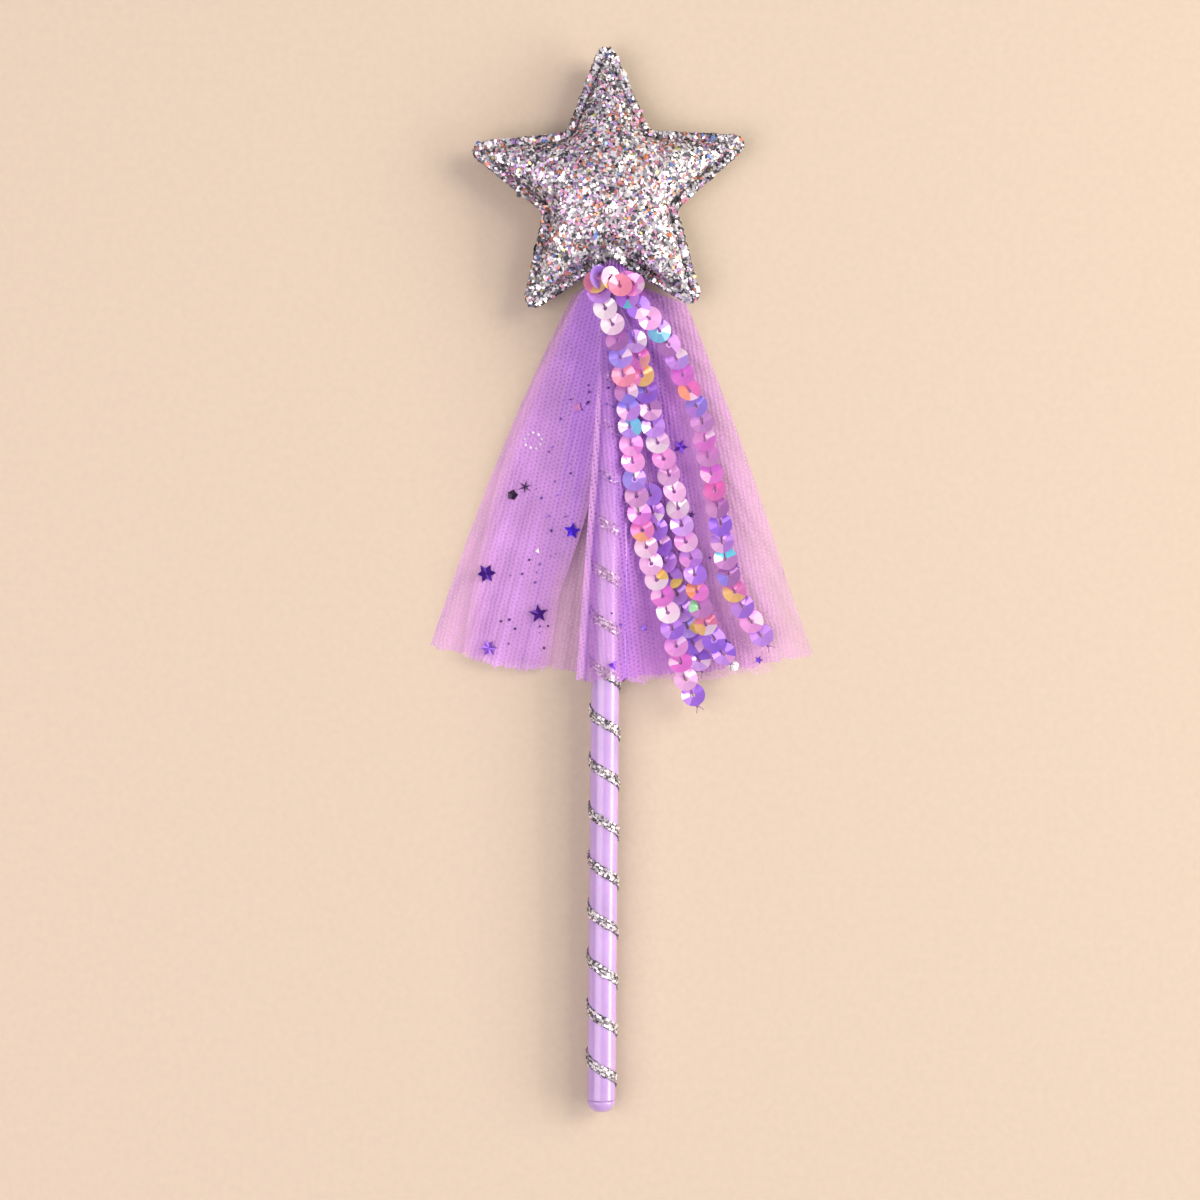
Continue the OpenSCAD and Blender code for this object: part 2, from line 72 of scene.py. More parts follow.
# Routes of the four threads from the neck to their ends, in millimetres
ROUTES = {
    "left": [
        (-5, -23.5, 14), (-5, -27.5, 14.25), (-3, -30.5, 14), (-1, -34, 13.5), (0.5, -37, 13.5),
        (2.5, -42, 13.25), (4, -51, 12.75), (5.5, -58, 12), (6, -65, 11.25), (7, -75, 10.5),
        (8, -84, 9.5), (9.5, -94, 8.25), (12, -104, 6.75), (15, -112, 6.75), (17.5, -119, 6.75),
        (20, -129, 7), (22.5, -138, 6.75), (25, -143, 6.25), (28, -150.5, 5.5),
    ],
    "under": [
        (-0.75, -23.5, 14.5), (-0.5, -28, 13.75), (0.75, -31, 13), (3.5, -35, 11.5), (6, -40, 9.5),
        (7, -46, 8), (8, -53, 7), (9, -60, 6.5), (10, -68, 6), (11, -77, 6), (12.5, -88, 5.75),
        (14.5, -98, 4.75), (17, -106, 4.5), (20, -114, 4.5), (22.5, -121, 4.75), (25, -129, 4.75),
        (28, -137, 4.75),
    ],
    "middle": [
        (0.5, -23.5, 14), (0.5, -27, 13.75), (1.5, -31, 13.25), (4.5, -36, 12), (7.5, -42, 10.25),
        (9, -50, 9), (11, -57, 7.75), (12.5, -66, 6.25), (15, -74, 5.25), (18.5, -82, 4.5),
        (20.5, -91, 4.25), (22.5, -100, 4.25), (25, -107, 4.75), (26, -116, 6.25), (28, -123, 6.5),
        (32, -129, 6.25), (37, -136, 5),
    ],
    "right": [
        (4, -23.5, 14), (4, -27.5, 13.75), (6, -31.5, 13), (10, -35, 10.5), (14, -39, 7.5),
        (18, -44, 5.5), (20, -50, 4.5), (23, -56, 4), (26, -62, 4), (27.5, -69, 4), (29, -77, 4),
        (31, -86, 4), (32.5, -96, 4.5), (34, -106, 4.25), (36, -113, 4), (40, -120, 4), (44, -126, 4),
        (49.5, -132, 4),
    ],
}
# Number of the first sequin on each thread
FIRST_SEQUIN = {"left": 0, "under": 13, "middle": 4, "right": 0}
# Sequins bunched at the neck: place in millimetres, heading, pitch and roll in degrees, and mood
BUNCHED = {
    "left": [(-3, -25.8, 14.6, 255, 12, -38, "blue")],
    "under": [],
    "middle": [(0.3, -26.2, 14.6, 268, 8, -38, "pale"), (3.2, -28.3, 15.1, 278, 16, -8, "coral"),
               (5.4, -31.6, 14.4, 290, 20, 6, "violet")],
    "right": [(7, -28, 14, 300, 20, 10, "pink")],
}


def linear(code):
    """Linear RGBA of an sRGB hex value."""
    parts = [int(code[i:i + 2], 16) / 255 for i in (1, 3, 5)]
    return [c / 12.92 if c <= 0.04045 else ((c + 0.055) / 1.055) ** 2.4 for c in parts] + [1.0]


def setting(name, description, default, **limits):
    """A number that a user may change."""
    return bpy.props.FloatProperty(name=name, description=description, default=default, **limits)


def length(name, description, default):
    """A length in metres that a user may change."""
    return setting(name, description, default, min=0, unit="LENGTH", precision=5)


def colour(name, description, code):
    """A colour that a user may change."""
    return bpy.props.FloatVectorProperty(
        name=name, description=description, default=linear(code), size=4, min=0, max=1, subtype="COLOR")


class StickSettings(bpy.types.PropertyGroup):
    """Sizes and colour of the tube and its plug"""

    tube_radius: length("Tube radius", "Outside radius of the stick", 4 * MM)
    tube_in: length("Tube in star", "How far the tube runs past the star's centre", 8 * MM)
    tube_end: length("Tube end", "Star's centre to the tube's lower end", 258 * MM)
    tube_wall: length("Tube wall", "Wall of the tube", 1 * MM)
    dome_height: length("Plug dome", "Height of the end plug's dome", 3.6 * MM)
    spigot_length: length("Plug spigot", "Length of the plug's spigot in the tube", 10 * MM)
    axis_height: length("Axis height", "Height of the stick's axis at the star's centre", 7 * MM)
    lean: setting(
        "Lean", "How far the stick leans down to the floor", math.radians(0.5194), subtype="ANGLE")
    plastic: colour("Plastic", "Lilac of the tube and plug", "#BC9CD7")


class RibbonSettings(bpy.types.PropertyGroup):
    """Sizes and colour of the braid on the stick"""

    width: length("Width", "Width of the braid across its run", 2.7 * MM)
    thickness: length("Thickness", "Thickness of the braid", 0.45 * MM)
    inner_radius: length("Inner radius", "Radius on which the braid lies", 4.06 * MM)
    pitch: length("Pitch", "Rise of one turn along the stick", 14 * MM)
    front_at: length("Front crossing", "Star's centre to one crossing on the front", 137 * MM)
    start: length("Start", "Star's centre to the upper end", 31.9 * MM)
    end: length("End", "Star's centre to the lower end", 255.4 * MM)
    ground: colour("Ground", "Grey yarn between the silver strips", "#77737A")


class StarSettings(bpy.types.PropertyGroup):
    """Sizes and colour of the padded star"""

    tip_radius: length("Tip radius", "Centre to a rounded tip", 40 * MM)
    valley_radius: length("Valley radius", "Centre to a valley between arms", 20.4 * MM)
    tip_round: length("Tip rounding", "Rounding of a tip", 2.8 * MM)
    valley_round: length("Valley rounding", "Rounding of a valley", 3 * MM)
    seam_height: length("Seam height", "Height of the welded seam over the back", 7 * MM)
    front_height: length("Front height", "Height of the padded front over the seam", 10 * MM)
    rim_width: length("Rim width", "Width of the flat welded rim", 2.2 * MM)
    rim_thickness: length("Rim thickness", "Thickness of one panel at the rim", 1 * MM)
    mouth_radius: length("Mouth radius", "Radius of the tunnel for the stick", 5 * MM)
    skin: length("Skin", "Thickness of a panel's skin", 0.8 * MM)
    turn: setting("Turn", "Turn of the star about its own axis", math.radians(2), subtype="ANGLE")
    flake_size: length("Flake size", "Width of a large glitter flake", 1.55 * MM)
    flake_spacing: length("Flake spacing", "Least distance between two flakes", 0.62 * MM)
    film: colour("Film", "Grey film under the flakes", "#5C5B60")


class SkirtSettings(bpy.types.PropertyGroup):
    """Sizes and colours of the tulle skirt"""

    skirt_length: length("Length", "Neck to hem", 110.5 * MM)
    tulle: length("Tulle", "Thickness of a panel in the frame", 0.4 * MM)
    mesh_pitch: length("Net pitch", "Distance between two holes of the net", 1.15 * MM)
    back_fold: length("Back folds", "Height of a fold in a back panel", 1.1 * MM)
    front_fold: length("Front folds", "Height of a fold in a front panel", 0.75 * MM)
    gather_at: length("Gather", "Star's centre to the bunched tulle", -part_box("tulle_gather")[1].y)
    gather_length: length("Gather length", "Length of the bunched tulle", 4.5 * MM)
    gather_radius: length("Gather radius", "Outside radius of the bunched tulle", 5.75 * MM)
    dense: colour("Dense tulle", "Lilac of the closer layers", "#E8AEF4")
    # A deeper copy of the tulle's lilac, partly painted shade of the strands on the layer under them
    shaded: colour("Mauve tulle", "Mauve of the layer under the strands", "#DC8CF0")
    sheer: colour("Sheer tulle", "Pinkish lilac of the thin layers", "#F4ACFE")


class StrandSettings(bpy.types.PropertyGroup):
    """Sizes and colours of the sequin strands"""

    sequin_diameter: length("Sequin", "Diameter of a sequin", 6.8 * MM)
    sequin_hole: length("Hole", "Diameter of a sequin's hole", 1.15 * MM)
    sequin_flat: length("Flat", "Radius at which the facets of a sequin begin", 0.95 * MM)
    sequin_film: length("Film", "Thickness of a sequin", 0.12 * MM)
    sequin_cup: length("Cup", "Height of a sequin's rim", 0.55 * MM)
    sequin_pitch: length("Step", "Step from one sequin to the next", 4.9 * MM)
    tilt: setting("Tilt", "Tilt of a sequin against its thread", math.radians(20), subtype="ANGLE")
    thread_diameter: length("Thread", "Diameter of a thread", 0.3 * MM)
    knot_diameter: length("Knot", "Diameter of the end knot", 1.4 * MM)
    thread: colour("Thread colour", "Mauve sewing thread", "#9A6AA6")
    # A darker copy of the thread colour: painted shade of the thread in the sequins' holes
    stitch: colour("Stitch colour", "Stitches that show in the holes", "#6E3A5E")


class StageSettings(bpy.types.PropertyGroup):
    """Picture, lights and floor"""

    view_width: length("View width", "Width of the picture at the height of the seam", 339.5 * MM)
    view_x: setting("View X", "Middle of the picture across", -1.64 * MM, unit="LENGTH")
    view_y: setting("View Y", "Middle of the picture along the wand", -116.3 * MM, unit="LENGTH")
    lens: setting("Lens", "Focal length in millimetres", 85, min=1)
    roll: setting("Roll", "Roll of the camera", 0.00898, subtype="ANGLE")
    key_power: setting("Key", "Power of the key light", 12, min=0, unit="POWER")
    window_power: setting("Window", "Power of the long window light", 15, min=0, unit="POWER")
    fill_power: setting("Fill", "Power of the fill light", 9, min=0, unit="POWER")
    paper: colour("Floor", "Pale cream floor", "#CEC0AC")


def add(tree, kind, links=(), stops=(), **settings):
    """Adds a node: links pair a socket with an output or a value, stops are a colour ramp's places and
    colours, and settings name the node's properties or input sockets."""
    made = tree.nodes.new(kind)
    for key, value in settings.items():
        socket = made.inputs.get(key.replace("_", " ")) if not hasattr(made, key) else None
        if socket is None:
            setattr(made, key, value)
        else:
            socket.default_value = value
    for socket, source in links:
        if isinstance(source, bpy.types.NodeSocket):
            tree.links.new(source, made.inputs[socket])
        else:
            made.inputs[socket].default_value = source
    if stops:
        elements = made.color_ramp.elements
        while len(elements) < len(stops):
            elements.new(0.5)
        for element, (place, tint) in zip(elements, stops):
            element.position = place
            element.color = tint
    return made


def new_material(name):
    """An empty material and its node tree."""
    made = bpy.data.materials.new(name)
    made.use_nodes = True
    made.node_tree.nodes.clear()
    return made, made.node_tree


def toned(tint, factor=1.0):
    """A colour made darker or lighter by a factor."""
    return [min(1, c * factor) for c in list(tint)[:3]] + [1]


def lilac_polypropylene(settings):
    """Extruded, glossy polypropylene: waxy lilac, draw lines 0.4 mm apart, soft scuffs 11 mm across."""
    made, tree = new_material("lilac_polypropylene")
    place = add(tree, "ShaderNodeTexCoord")
    drawn = add(tree, "ShaderNodeMapping", [("Vector", place.outputs["Object"])], Scale=(2600, 35, 2600))
    lines = add(tree, "ShaderNodeTexNoise", [("Vector", drawn.outputs[0])], Scale=1.0, Detail=3.0)
    cloud = add(tree, "ShaderNodeTexNoise", [("Vector", place.outputs["Object"])], Scale=90.0, Detail=4.0)
    tint = add(
        tree, "ShaderNodeValToRGB", [("Fac", cloud.outputs["Fac"])],
        stops=[(0.3, toned(settings.plastic, 0.86)), (0.7, toned(settings.plastic, 1.08))])
    rough = add(tree, "ShaderNodeMapRange", [("Value", cloud.outputs["Fac"])], To_Min=0.26, To_Max=0.38)
    bump = add(tree, "ShaderNodeBump", [("Height", lines.outputs["Fac"])], Strength=0.05, Distance=0.0002)
    shader = add(
        tree, "ShaderNodeBsdfPrincipled",
        [("Base Color", tint.outputs[0]), ("Roughness", rough.outputs[0]), ("Normal", bump.outputs[0])],
        IOR=1.49, Subsurface_Weight=0.15, Subsurface_Scale=0.002,
        Coat_Weight=0.9, Coat_IOR=1.6, Coat_Roughness=0.24)
    add(tree, "ShaderNodeOutputMaterial", [("Surface", shader.outputs[0])])
    return made


def tinted_film(name, scale, detail, gloss, **finish):
    """A film with its own tint on each face, and a roughness between two values that wear breaks up."""
    made, tree = new_material(name)
    tint = add(tree, "ShaderNodeVertexColor", layer_name="tint")
    place = add(tree, "ShaderNodeTexCoord")
    wear = add(tree, "ShaderNodeTexNoise", [("Vector", place.outputs["Object"])], Scale=scale, Detail=detail)
    rough = add(
        tree, "ShaderNodeMapRange", [("Value", wear.outputs["Fac"])], To_Min=gloss[0], To_Max=gloss[1])
    shader = add(
        tree, "ShaderNodeBsdfPrincipled",
        [("Base Color", tint.outputs["Color"]), ("Roughness", rough.outputs[0])], **finish)
    add(tree, "ShaderNodeOutputMaterial", [("Surface", shader.outputs[0])])
    return made


def silver_flake_film():
    """Metallised polyester glitter: mirror-bright cut flakes, each with its own tint, wear 1.1 mm across."""
    return tinted_film(
        "silver_flake_film", 900.0, 2.0, (0.14, 0.36),
        Metallic=0.5, IOR=1.6, Coat_Weight=0.4, Coat_Roughness=0.1)


def pearl_sequin_film():
    """Embossed polyester sequin film: a glossy pearl coat, hue by hue on its facets, haze 1.4 mm across."""
    return tinted_film(
        "pearl_sequin_film", 700.0, 3.0, (0.12, 0.3),
        Metallic=0.35, IOR=1.57, Coat_Weight=0.7, Coat_Roughness=0.08)


def violet_foil():
    """Punched metallic foil confetti: dark violet mirror with a faint mottle 0.8 mm across."""
    return tinted_film(
        "violet_foil", 1200.0, 2.0, (0.18, 0.4), Metallic=0.7, Coat_Weight=0.3, Coat_Roughness=0.1)


def flecked(name, scale, stops, strength, **finish):
    """A material of small random cells, each with its own grey and height."""
    made, tree = new_material(name)
    place = add(tree, "ShaderNodeTexCoord")
    cells = add(tree, "ShaderNodeTexVoronoi", [("Vector", place.outputs["Object"])], Scale=scale)
    grey = add(tree, "ShaderNodeSeparateColor", [("Color", cells.outputs["Color"])])
    tint = add(tree, "ShaderNodeValToRGB", [("Fac", grey.outputs[0])], stops=stops)
    bump = add(tree, "ShaderNodeBump", [("Height", grey.outputs[0])], Strength=strength, Distance=0.0001)
    shader = add(
        tree, "ShaderNodeBsdfPrincipled",
        [("Base Color", tint.outputs[0]), ("Normal", bump.outputs[0])], **finish)
    add(tree, "ShaderNodeOutputMaterial", [("Surface", shader.outputs[0])])
    return made


def grey_vinyl_film(settings):
    """Calendered grey vinyl under the flakes: satin, with fine glitter dust of 0.4 mm in it."""
    stops = [(0.0, toned(settings.film, 0.4)), (0.55, toned(settings.film)),
             (0.85, linear("#A79FA8")), (0.97, linear("#F4F0F4"))]
    return flecked("grey_vinyl_film", 2400.0, stops, 0.5, Metallic=0.45, Roughness=0.38, IOR=1.53)


def lurex_braid(settings):
    """Flat braid of grey yarn and metallised strips: a woven ground of 0.5 mm with a broken glint."""
    stops = [(0.1, toned(settings.ground, 0.45)), (0.6, toned(settings.ground)), (0.95, linear("#D9D4DA"))]
    return flecked("lurex_braid", 1900.0, stops, 0.8, Metallic=0.6, Roughness=0.42)


def nylon_tulle(name, tint, pitch, hole_alpha, yarn_alpha):
    """Warp-knitted nylon net: six-sided holes a little over a millimetre apart, silky soft yarn. Its tint
    deepens with cover, partly for layers on each other and partly as painted shade, and a painted
    highlight makes it pale along a folded edge."""
    made, tree = new_material(name)
    flat = add(tree, "ShaderNodeUVMap", uv_map="cloth")
    sway = add(tree, "ShaderNodeTexNoise", [("Vector", flat.outputs[0])], Scale=0.35, Detail=2.0)
    shift = add(
        tree, "ShaderNodeVectorMath", [(0, sway.outputs["Color"]), (1, (1.1, 1.1, 0))], operation="MULTIPLY")
    place = add(
        tree, "ShaderNodeVectorMath", [(0, flat.outputs[0]), (1, shift.outputs[0])], operation="ADD")
    wale, course = TAU / (1.08 * pitch / MM), TAU / (1.04 * pitch / MM)
    net = 0
    for way, weight in (((wale, 0, 0), 2.2), ((wale / 2, course, 0), 1), ((-wale / 2, course, 0), 1)):
        run = add(tree, "ShaderNodeVectorMath", [(0, place.outputs[0]), (1, way)], operation="DOT_PRODUCT")
        wave = add(tree, "ShaderNodeMath", [(0, run.outputs["Value"])], operation="COSINE")
        total = add(
            tree, "ShaderNodeMath", [(0, wave.outputs[0]), (1, weight), (2, net)], operation="MULTIPLY_ADD")
        net = total.outputs[0]
    holes = add(tree, "ShaderNodeMapRange", [("Value", net)], From_Min=1.3, From_Max=3.6)
    clear = add(tree, "ShaderNodeAttribute", attribute_name="clear")
    seen = add(
        tree, "ShaderNodeMath", [(0, holes.outputs[0]), (1, clear.outputs["Fac"])], operation="MULTIPLY")
    thin = add(
        tree, "ShaderNodeMapRange", [("Value", seen.outputs[0])], To_Min=yarn_alpha, To_Max=hole_alpha)
    cover = add(tree, "ShaderNodeAttribute", attribute_name="cover")
    alpha = add(
        tree, "ShaderNodeMath", [(0, thin.outputs[0]), (1, cover.outputs["Fac"])],
        operation="MULTIPLY", use_clamp=True)
    spots = add(tree, "ShaderNodeTexNoise", [("Vector", place.outputs[0])], Scale=0.09, Detail=3.0)
    tones = add(
        tree, "ShaderNodeValToRGB", [("Fac", spots.outputs["Fac"])],
        stops=[(0.3, toned(tint, 0.88)), (0.7, toned(tint, 1.1))])
    # Cover deepens the tint, partly as painted shade, and at the fold value turns it pale as a painted
    # highlight
    layers = add(
        tree, "ShaderNodeMapRange", [("Value", cover.outputs["Fac"])], From_Min=0.4, From_Max=FOLD_HIGHLIGHT_COVER)
    deep = add(
        tree, "ShaderNodeValToRGB", [("Fac", layers.outputs[0])],
        stops=[(0.0, (1, 1, 1, 1)), (0.6, (0.54, 0.45, 0.78, 1)),
               (0.8, (0.4, 0.32, 0.66, 1)), (0.95, (0.86, 1, 0.95, 1))])
    tint_with_painted_light = add(
        tree, "ShaderNodeVectorMath", [(0, tones.outputs[0]), (1, deep.outputs[0])], operation="MULTIPLY")
    bump = add(tree, "ShaderNodeBump", [("Height", net)], Strength=0.35, Distance=0.0001, invert=True)
    shader = add(
        tree, "ShaderNodeBsdfPrincipled",
        [("Base Color", tint_with_painted_light.outputs[0]), ("Alpha", alpha.outputs[0]), ("Normal", bump.outputs[0])],
        Roughness=0.55, IOR=1.53, Sheen_Weight=0.45, Sheen_Roughness=0.4)
    add(tree, "ShaderNodeOutputMaterial", [("Surface", shader.outputs[0])])
    return made


def polyester_thread(name, tint):
    """Spun polyester sewing thread: matt, with the slant of its twist. The real twist of half a millimetre
    is too fine to show, so it is drawn 2 mm apart."""
    made, tree = new_material(name)
    place = add(tree, "ShaderNodeTexCoord")
    twist = add(
        tree, "ShaderNodeTexWave", [("Vector", place.outputs["Object"])],
        Scale=320.0, Distortion=2.0, bands_direction="DIAGONAL")
    tones = add(
        tree, "ShaderNodeValToRGB", [("Fac", twist.outputs["Fac"])],
        stops=[(0.2, toned(tint, 0.7)), (0.8, toned(tint))])
    bump = add(tree, "ShaderNodeBump", [("Height", twist.outputs["Fac"])], Strength=0.4, Distance=0.00005)
    shader = add(
        tree, "ShaderNodeBsdfPrincipled", [("Base Color", tones.outputs[0]), ("Normal", bump.outputs[0])],
        Roughness=0.7, Sheen_Weight=0.3)
    add(tree, "ShaderNodeOutputMaterial", [("Surface", shader.outputs[0])])
    return made


def clouded(name, tint, scale, detail, dark, relief, **finish):
    """A material clouded by one noise, which darkens it by a factor and raises it: strength, distance."""
    made, tree = new_material(name)
    place = add(tree, "ShaderNodeTexCoord")
    cloud = add(tree, "ShaderNodeTexNoise", [("Vector", place.outputs["Object"])], Scale=scale, Detail=detail)
    tones = add(
        tree, "ShaderNodeValToRGB", [("Fac", cloud.outputs["Fac"])],
        stops=[(0.3, toned(tint, dark)), (0.7, toned(tint))])
    bump = add(
        tree, "ShaderNodeBump", [("Height", cloud.outputs["Fac"])], Strength=relief[0], Distance=relief[1])
    shader = add(
        tree, "ShaderNodeBsdfPrincipled",
        [("Base Color", tones.outputs[0]), ("Normal", bump.outputs[0])], **finish)
    add(tree, "ShaderNodeOutputMaterial", [("Surface", shader.outputs[0])])
    return made


def soft_filler(name, code, scale, rough, weight):
    """Carded wadding, set glue, bunched net or covered elastic: a soft mass, cloudy in tint and relief."""
    return clouded(
        name, linear(code), scale, 6.0, 0.8, (0.5, 0.0003), Roughness=rough, Sheen_Weight=weight)


def painted_paper(settings):
    """Matt painted paper under the wand: cream with a faint fibre mottle about 2 mm across."""
    return clouded("painted_paper", settings.paper, 500.0, 5.0, 0.95, (0.08, 0.0005), Roughness=0.85)


def smooth(low, high, x):
    """Rises from 0 at low to 1 at high without a kink."""
    t = np.clip((x - low) / (high - low), 0, 1)
    return t * t * (3 - 2 * t)


def grid_faces(rows, columns, around=False):
    """Quads between rows of points; around joins the last column to the first."""
    steps = columns if around else columns - 1
    faces = []
    for j in range(rows - 1):
        for i in range(steps):
            k = (i + 1) % columns
            faces.append((j * columns + i, j * columns + k, (j + 1) * columns + k, (j + 1) * columns + i))
    return faces


def make_piece(name, points, faces, material, smooth_shade=True, tints=None):
    """A mesh object from points and faces, with an optional material slot and colour for each face."""
    mesh = bpy.data.meshes.new(name)
    mesh.from_pydata([tuple(p) for p in np.asarray(points, float)], [], faces)
    mesh.materials.append(material)
    mesh.polygons.foreach_set("use_smooth", [smooth_shade] * len(mesh.polygons))
    if tints is not None:
        layer = mesh.color_attributes.new("tint", "FLOAT_COLOR", "CORNER")
        sizes = [len(f) for f in faces]
        layer.data.foreach_set("color", np.repeat(np.asarray(tints, np.float32), sizes, axis=0).ravel())
    mesh.update()
    made = bpy.data.objects.new(name, mesh)
    bpy.context.scene.collection.objects.link(made)
    return made


def on_stick(stick, side, front, down):
    """Points in the row frame from a place along the stick and across it."""
    sine, cosine = math.sin(stick.lean), math.cos(stick.lean)
    side, front, down = np.broadcast_arrays(side, front, down)
    return np.stack(
        [side, -front * sine - down * cosine, stick.axis_height + front * cosine - down * sine], axis=-1)


def lathe(stick, profile, sides):
    """Points and faces of a profile of (radius, place down the stick) turned round the stick's axis."""
    turn = np.linspace(0, TAU, sides, endpoint=False)
    rows = [on_stick(stick, r * np.sin(turn), r * np.cos(turn), down) for r, down in profile]
    return np.concatenate(rows), grid_faces(len(profile), sides, around=True)


def build_stick(scene):
    """The lilac tube and the domed plug in its lower end."""
    stick = scene.wand_stick
    plastic = lilac_polypropylene(stick)
    r, inside, edge = stick.tube_radius, stick.tube_radius - stick.tube_wall, 0.25 * MM
    top, end = -stick.tube_in, stick.tube_end
    outer = [(inside, top), (r - edge, top), (r - edge * 0.3, top + edge * 0.3), (r, top + edge)]
    outer += [(r, d) for d in np.linspace(top + 2 * edge, end - 2 * edge, 24)]
    outer += [(r, end - edge), (r - edge * 0.3, end - edge * 0.3), (r - edge, end), (inside, end)]
    outer.append((inside, top))
    points, faces = lathe(stick, outer, 72)
    tube = make_piece("stick_tube_dressed", points, faces, plastic)
    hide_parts("stick_tube")
    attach(tube, "wand")
    gap, play, lip, pole = 0.04 * MM, 0.05 * MM, 0.3 * MM, 0.02 * MM
    spigot, foot = inside - play, end - stick.spigot_length
    plug_profile = [(play, foot), (spigot - edge, foot), (spigot, foot + edge),
                    (spigot, end + gap), (r - edge, end + gap)]
    for a in np.linspace(0, math.pi / 2, 14):
        dome = r * math.cos(a) ** 0.9 if a < 1.57 else pole
        plug_profile.append((dome, end + lip + (stick.dome_height - lip) * math.sin(a)))
    points, faces = lathe(stick, plug_profile, 64)
    plug = make_piece("end_plug_dressed", points, faces, plastic)
    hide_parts("end_plug")
    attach(plug, "wand")


def flake_polygons(rng, places, normals, sizes, lift, tilt):
    """Flat cut flakes of four to six corners on a surface, each tilted a little its own way."""
    count = len(places)
    helper = np.where(np.abs(normals[:, 2:3]) < 0.9, np.array([[0, 0, 1.0]]), np.array([[1.0, 0, 0]]))
    across = np.cross(helper, normals)
    across /= np.linalg.norm(across, axis=1, keepdims=True)
    along = np.cross(normals, across)
    spin = rng.random(count) * TAU
    lean = rng.random(count) ** 0.8 * tilt
    toward = rng.random(count) * TAU
    corners = rng.integers(4, 7, count)
    aspect = 0.42 + 0.5 * rng.random(count)
    points, faces = [], []
    for i in range(count):
        k = corners[i]
        a = np.arange(k) * TAU / k + rng.random(k) * 0.5
        x, y = np.cos(a) * sizes[i] / 2, np.sin(a) * sizes[i] / 2 * aspect[i]
        u = x * math.cos(spin[i]) - y * math.sin(spin[i])
        v = x * math.sin(spin[i]) + y * math.cos(spin[i])
        rise = (u * math.cos(toward[i]) + v * math.sin(toward[i])) * math.tan(lean[i])
        start = len(points)
        points.extend(
            places[i] + np.outer(u, across[i]) + np.outer(v, along[i]) + np.outer(rise + lift, normals[i]))
        faces.append(tuple(range(start, start + k)))
    return points, faces


def scatter(rng, points, faces, tries, spacing):
    """Random places on quads and triangles, no two nearer than spacing, with the faces' normals."""
    tri = np.array([t for f in faces for t in ((f[0], f[1], f[2]), (f[0], f[2], f[-1]))[:len(f) - 2]])
    a, b, c = points[tri[:, 0]], points[tri[:, 1]], points[tri[:, 2]]
    cross = np.cross(b - a, c - a)
    area = np.linalg.norm(cross, axis=1)
    pick = rng.choice(len(tri), tries, p=area / area.sum())
    u, v = rng.random((2, tries, 1))
    flip = u + v > 1
    u, v = np.where(flip, 1 - u, u), np.where(flip, 1 - v, v)
    spots = a[pick] + (b - a)[pick] * u + (c - a)[pick] * v
    normals = cross[pick] / np.maximum(area[pick], 1e-15)[:, None]
    cells, kept = {}, []
    for i, key in enumerate(map(tuple, np.floor(spots / spacing).astype(int))):
        near = (
            spots[j] for dx in (-1, 0, 1) for dy in (-1, 0, 1) for dz in (-1, 0, 1)
            for j in cells.get((key[0] + dx, key[1] + dy, key[2] + dz), ()))
        if all(np.sum((spots[i] - q) ** 2) > spacing ** 2 for q in near):
            cells.setdefault(key, []).append(i)
            kept.append(i)
    return spots[kept], normals[kept]


class StarOutline:
    """Tip and valley arcs joined by straight edges, as a radius for the angle from the nearest tip."""

    def __init__(self, star):
        self.star = star
        self.tip_middle = star.tip_radius - star.tip_round
        self.valley_middle = star.valley_radius + star.valley_round
        a = self.tip_middle - self.valley_middle * math.cos(ARM_HALF)
        b = self.valley_middle * math.sin(ARM_HALF)
        self.way = math.acos(-(star.tip_round + star.valley_round) / math.hypot(a, b)) - math.atan2(b, a)
        self.off = self.tip_middle * math.cos(self.way) + star.tip_round
        shares = np.concatenate([
            np.linspace(0, 0.11, 6), np.linspace(0.11, 0.88, 12)[1:], np.linspace(0.88, 1, 6)[1:]])
        both = np.concatenate([shares, 2 - shares[-2:0:-1]])
        self.around = np.concatenate([
            math.pi / 2 + star.turn + 2 * ARM_HALF * k + both * ARM_HALF for k in range(ARMS)])
        self.from_tip = np.tile(np.minimum(both, 2 - both) * ARM_HALF, ARMS)
        self.folded = np.repeat(np.arange(ARMS) == FOLDED_ARM, len(both))

    def radius(self, inset):
        """Radius at each angle, with the outline drawn in by an inset."""
        t, way = self.from_tip, self.way
        tip_r, valley_r = self.star.tip_round - inset, self.star.valley_round + inset
        tip_end = 0
        if tip_r > 0:
            tip_end = math.atan2(tip_r * math.sin(way), self.tip_middle + tip_r * math.cos(way))
        valley_start = math.atan2(
            self.valley_middle * math.sin(ARM_HALF) - valley_r * math.sin(way),
            self.valley_middle * math.cos(ARM_HALF) - valley_r * math.cos(way))
        tip = self.tip_middle * np.cos(t) + np.sqrt(
            np.maximum(0, tip_r ** 2 - (self.tip_middle * np.sin(t)) ** 2))
        valley = self.valley_middle * np.cos(ARM_HALF - t) - np.sqrt(
            np.maximum(0, valley_r ** 2 - (self.valley_middle * np.sin(ARM_HALF - t)) ** 2))
        edge = (self.off - inset) / np.cos(t - way)
        rounded = (t > valley_start) & ~self.folded
        return np.where(t < tip_end, tip, np.where(rounded, valley, edge))

    def ring(self, inset, share=1.0):
        """Flat ring of points at an inset, drawn towards the middle by a share."""
        r = self.radius(inset) * share
        return np.stack([r * np.cos(self.around), r * np.sin(self.around)], axis=1)


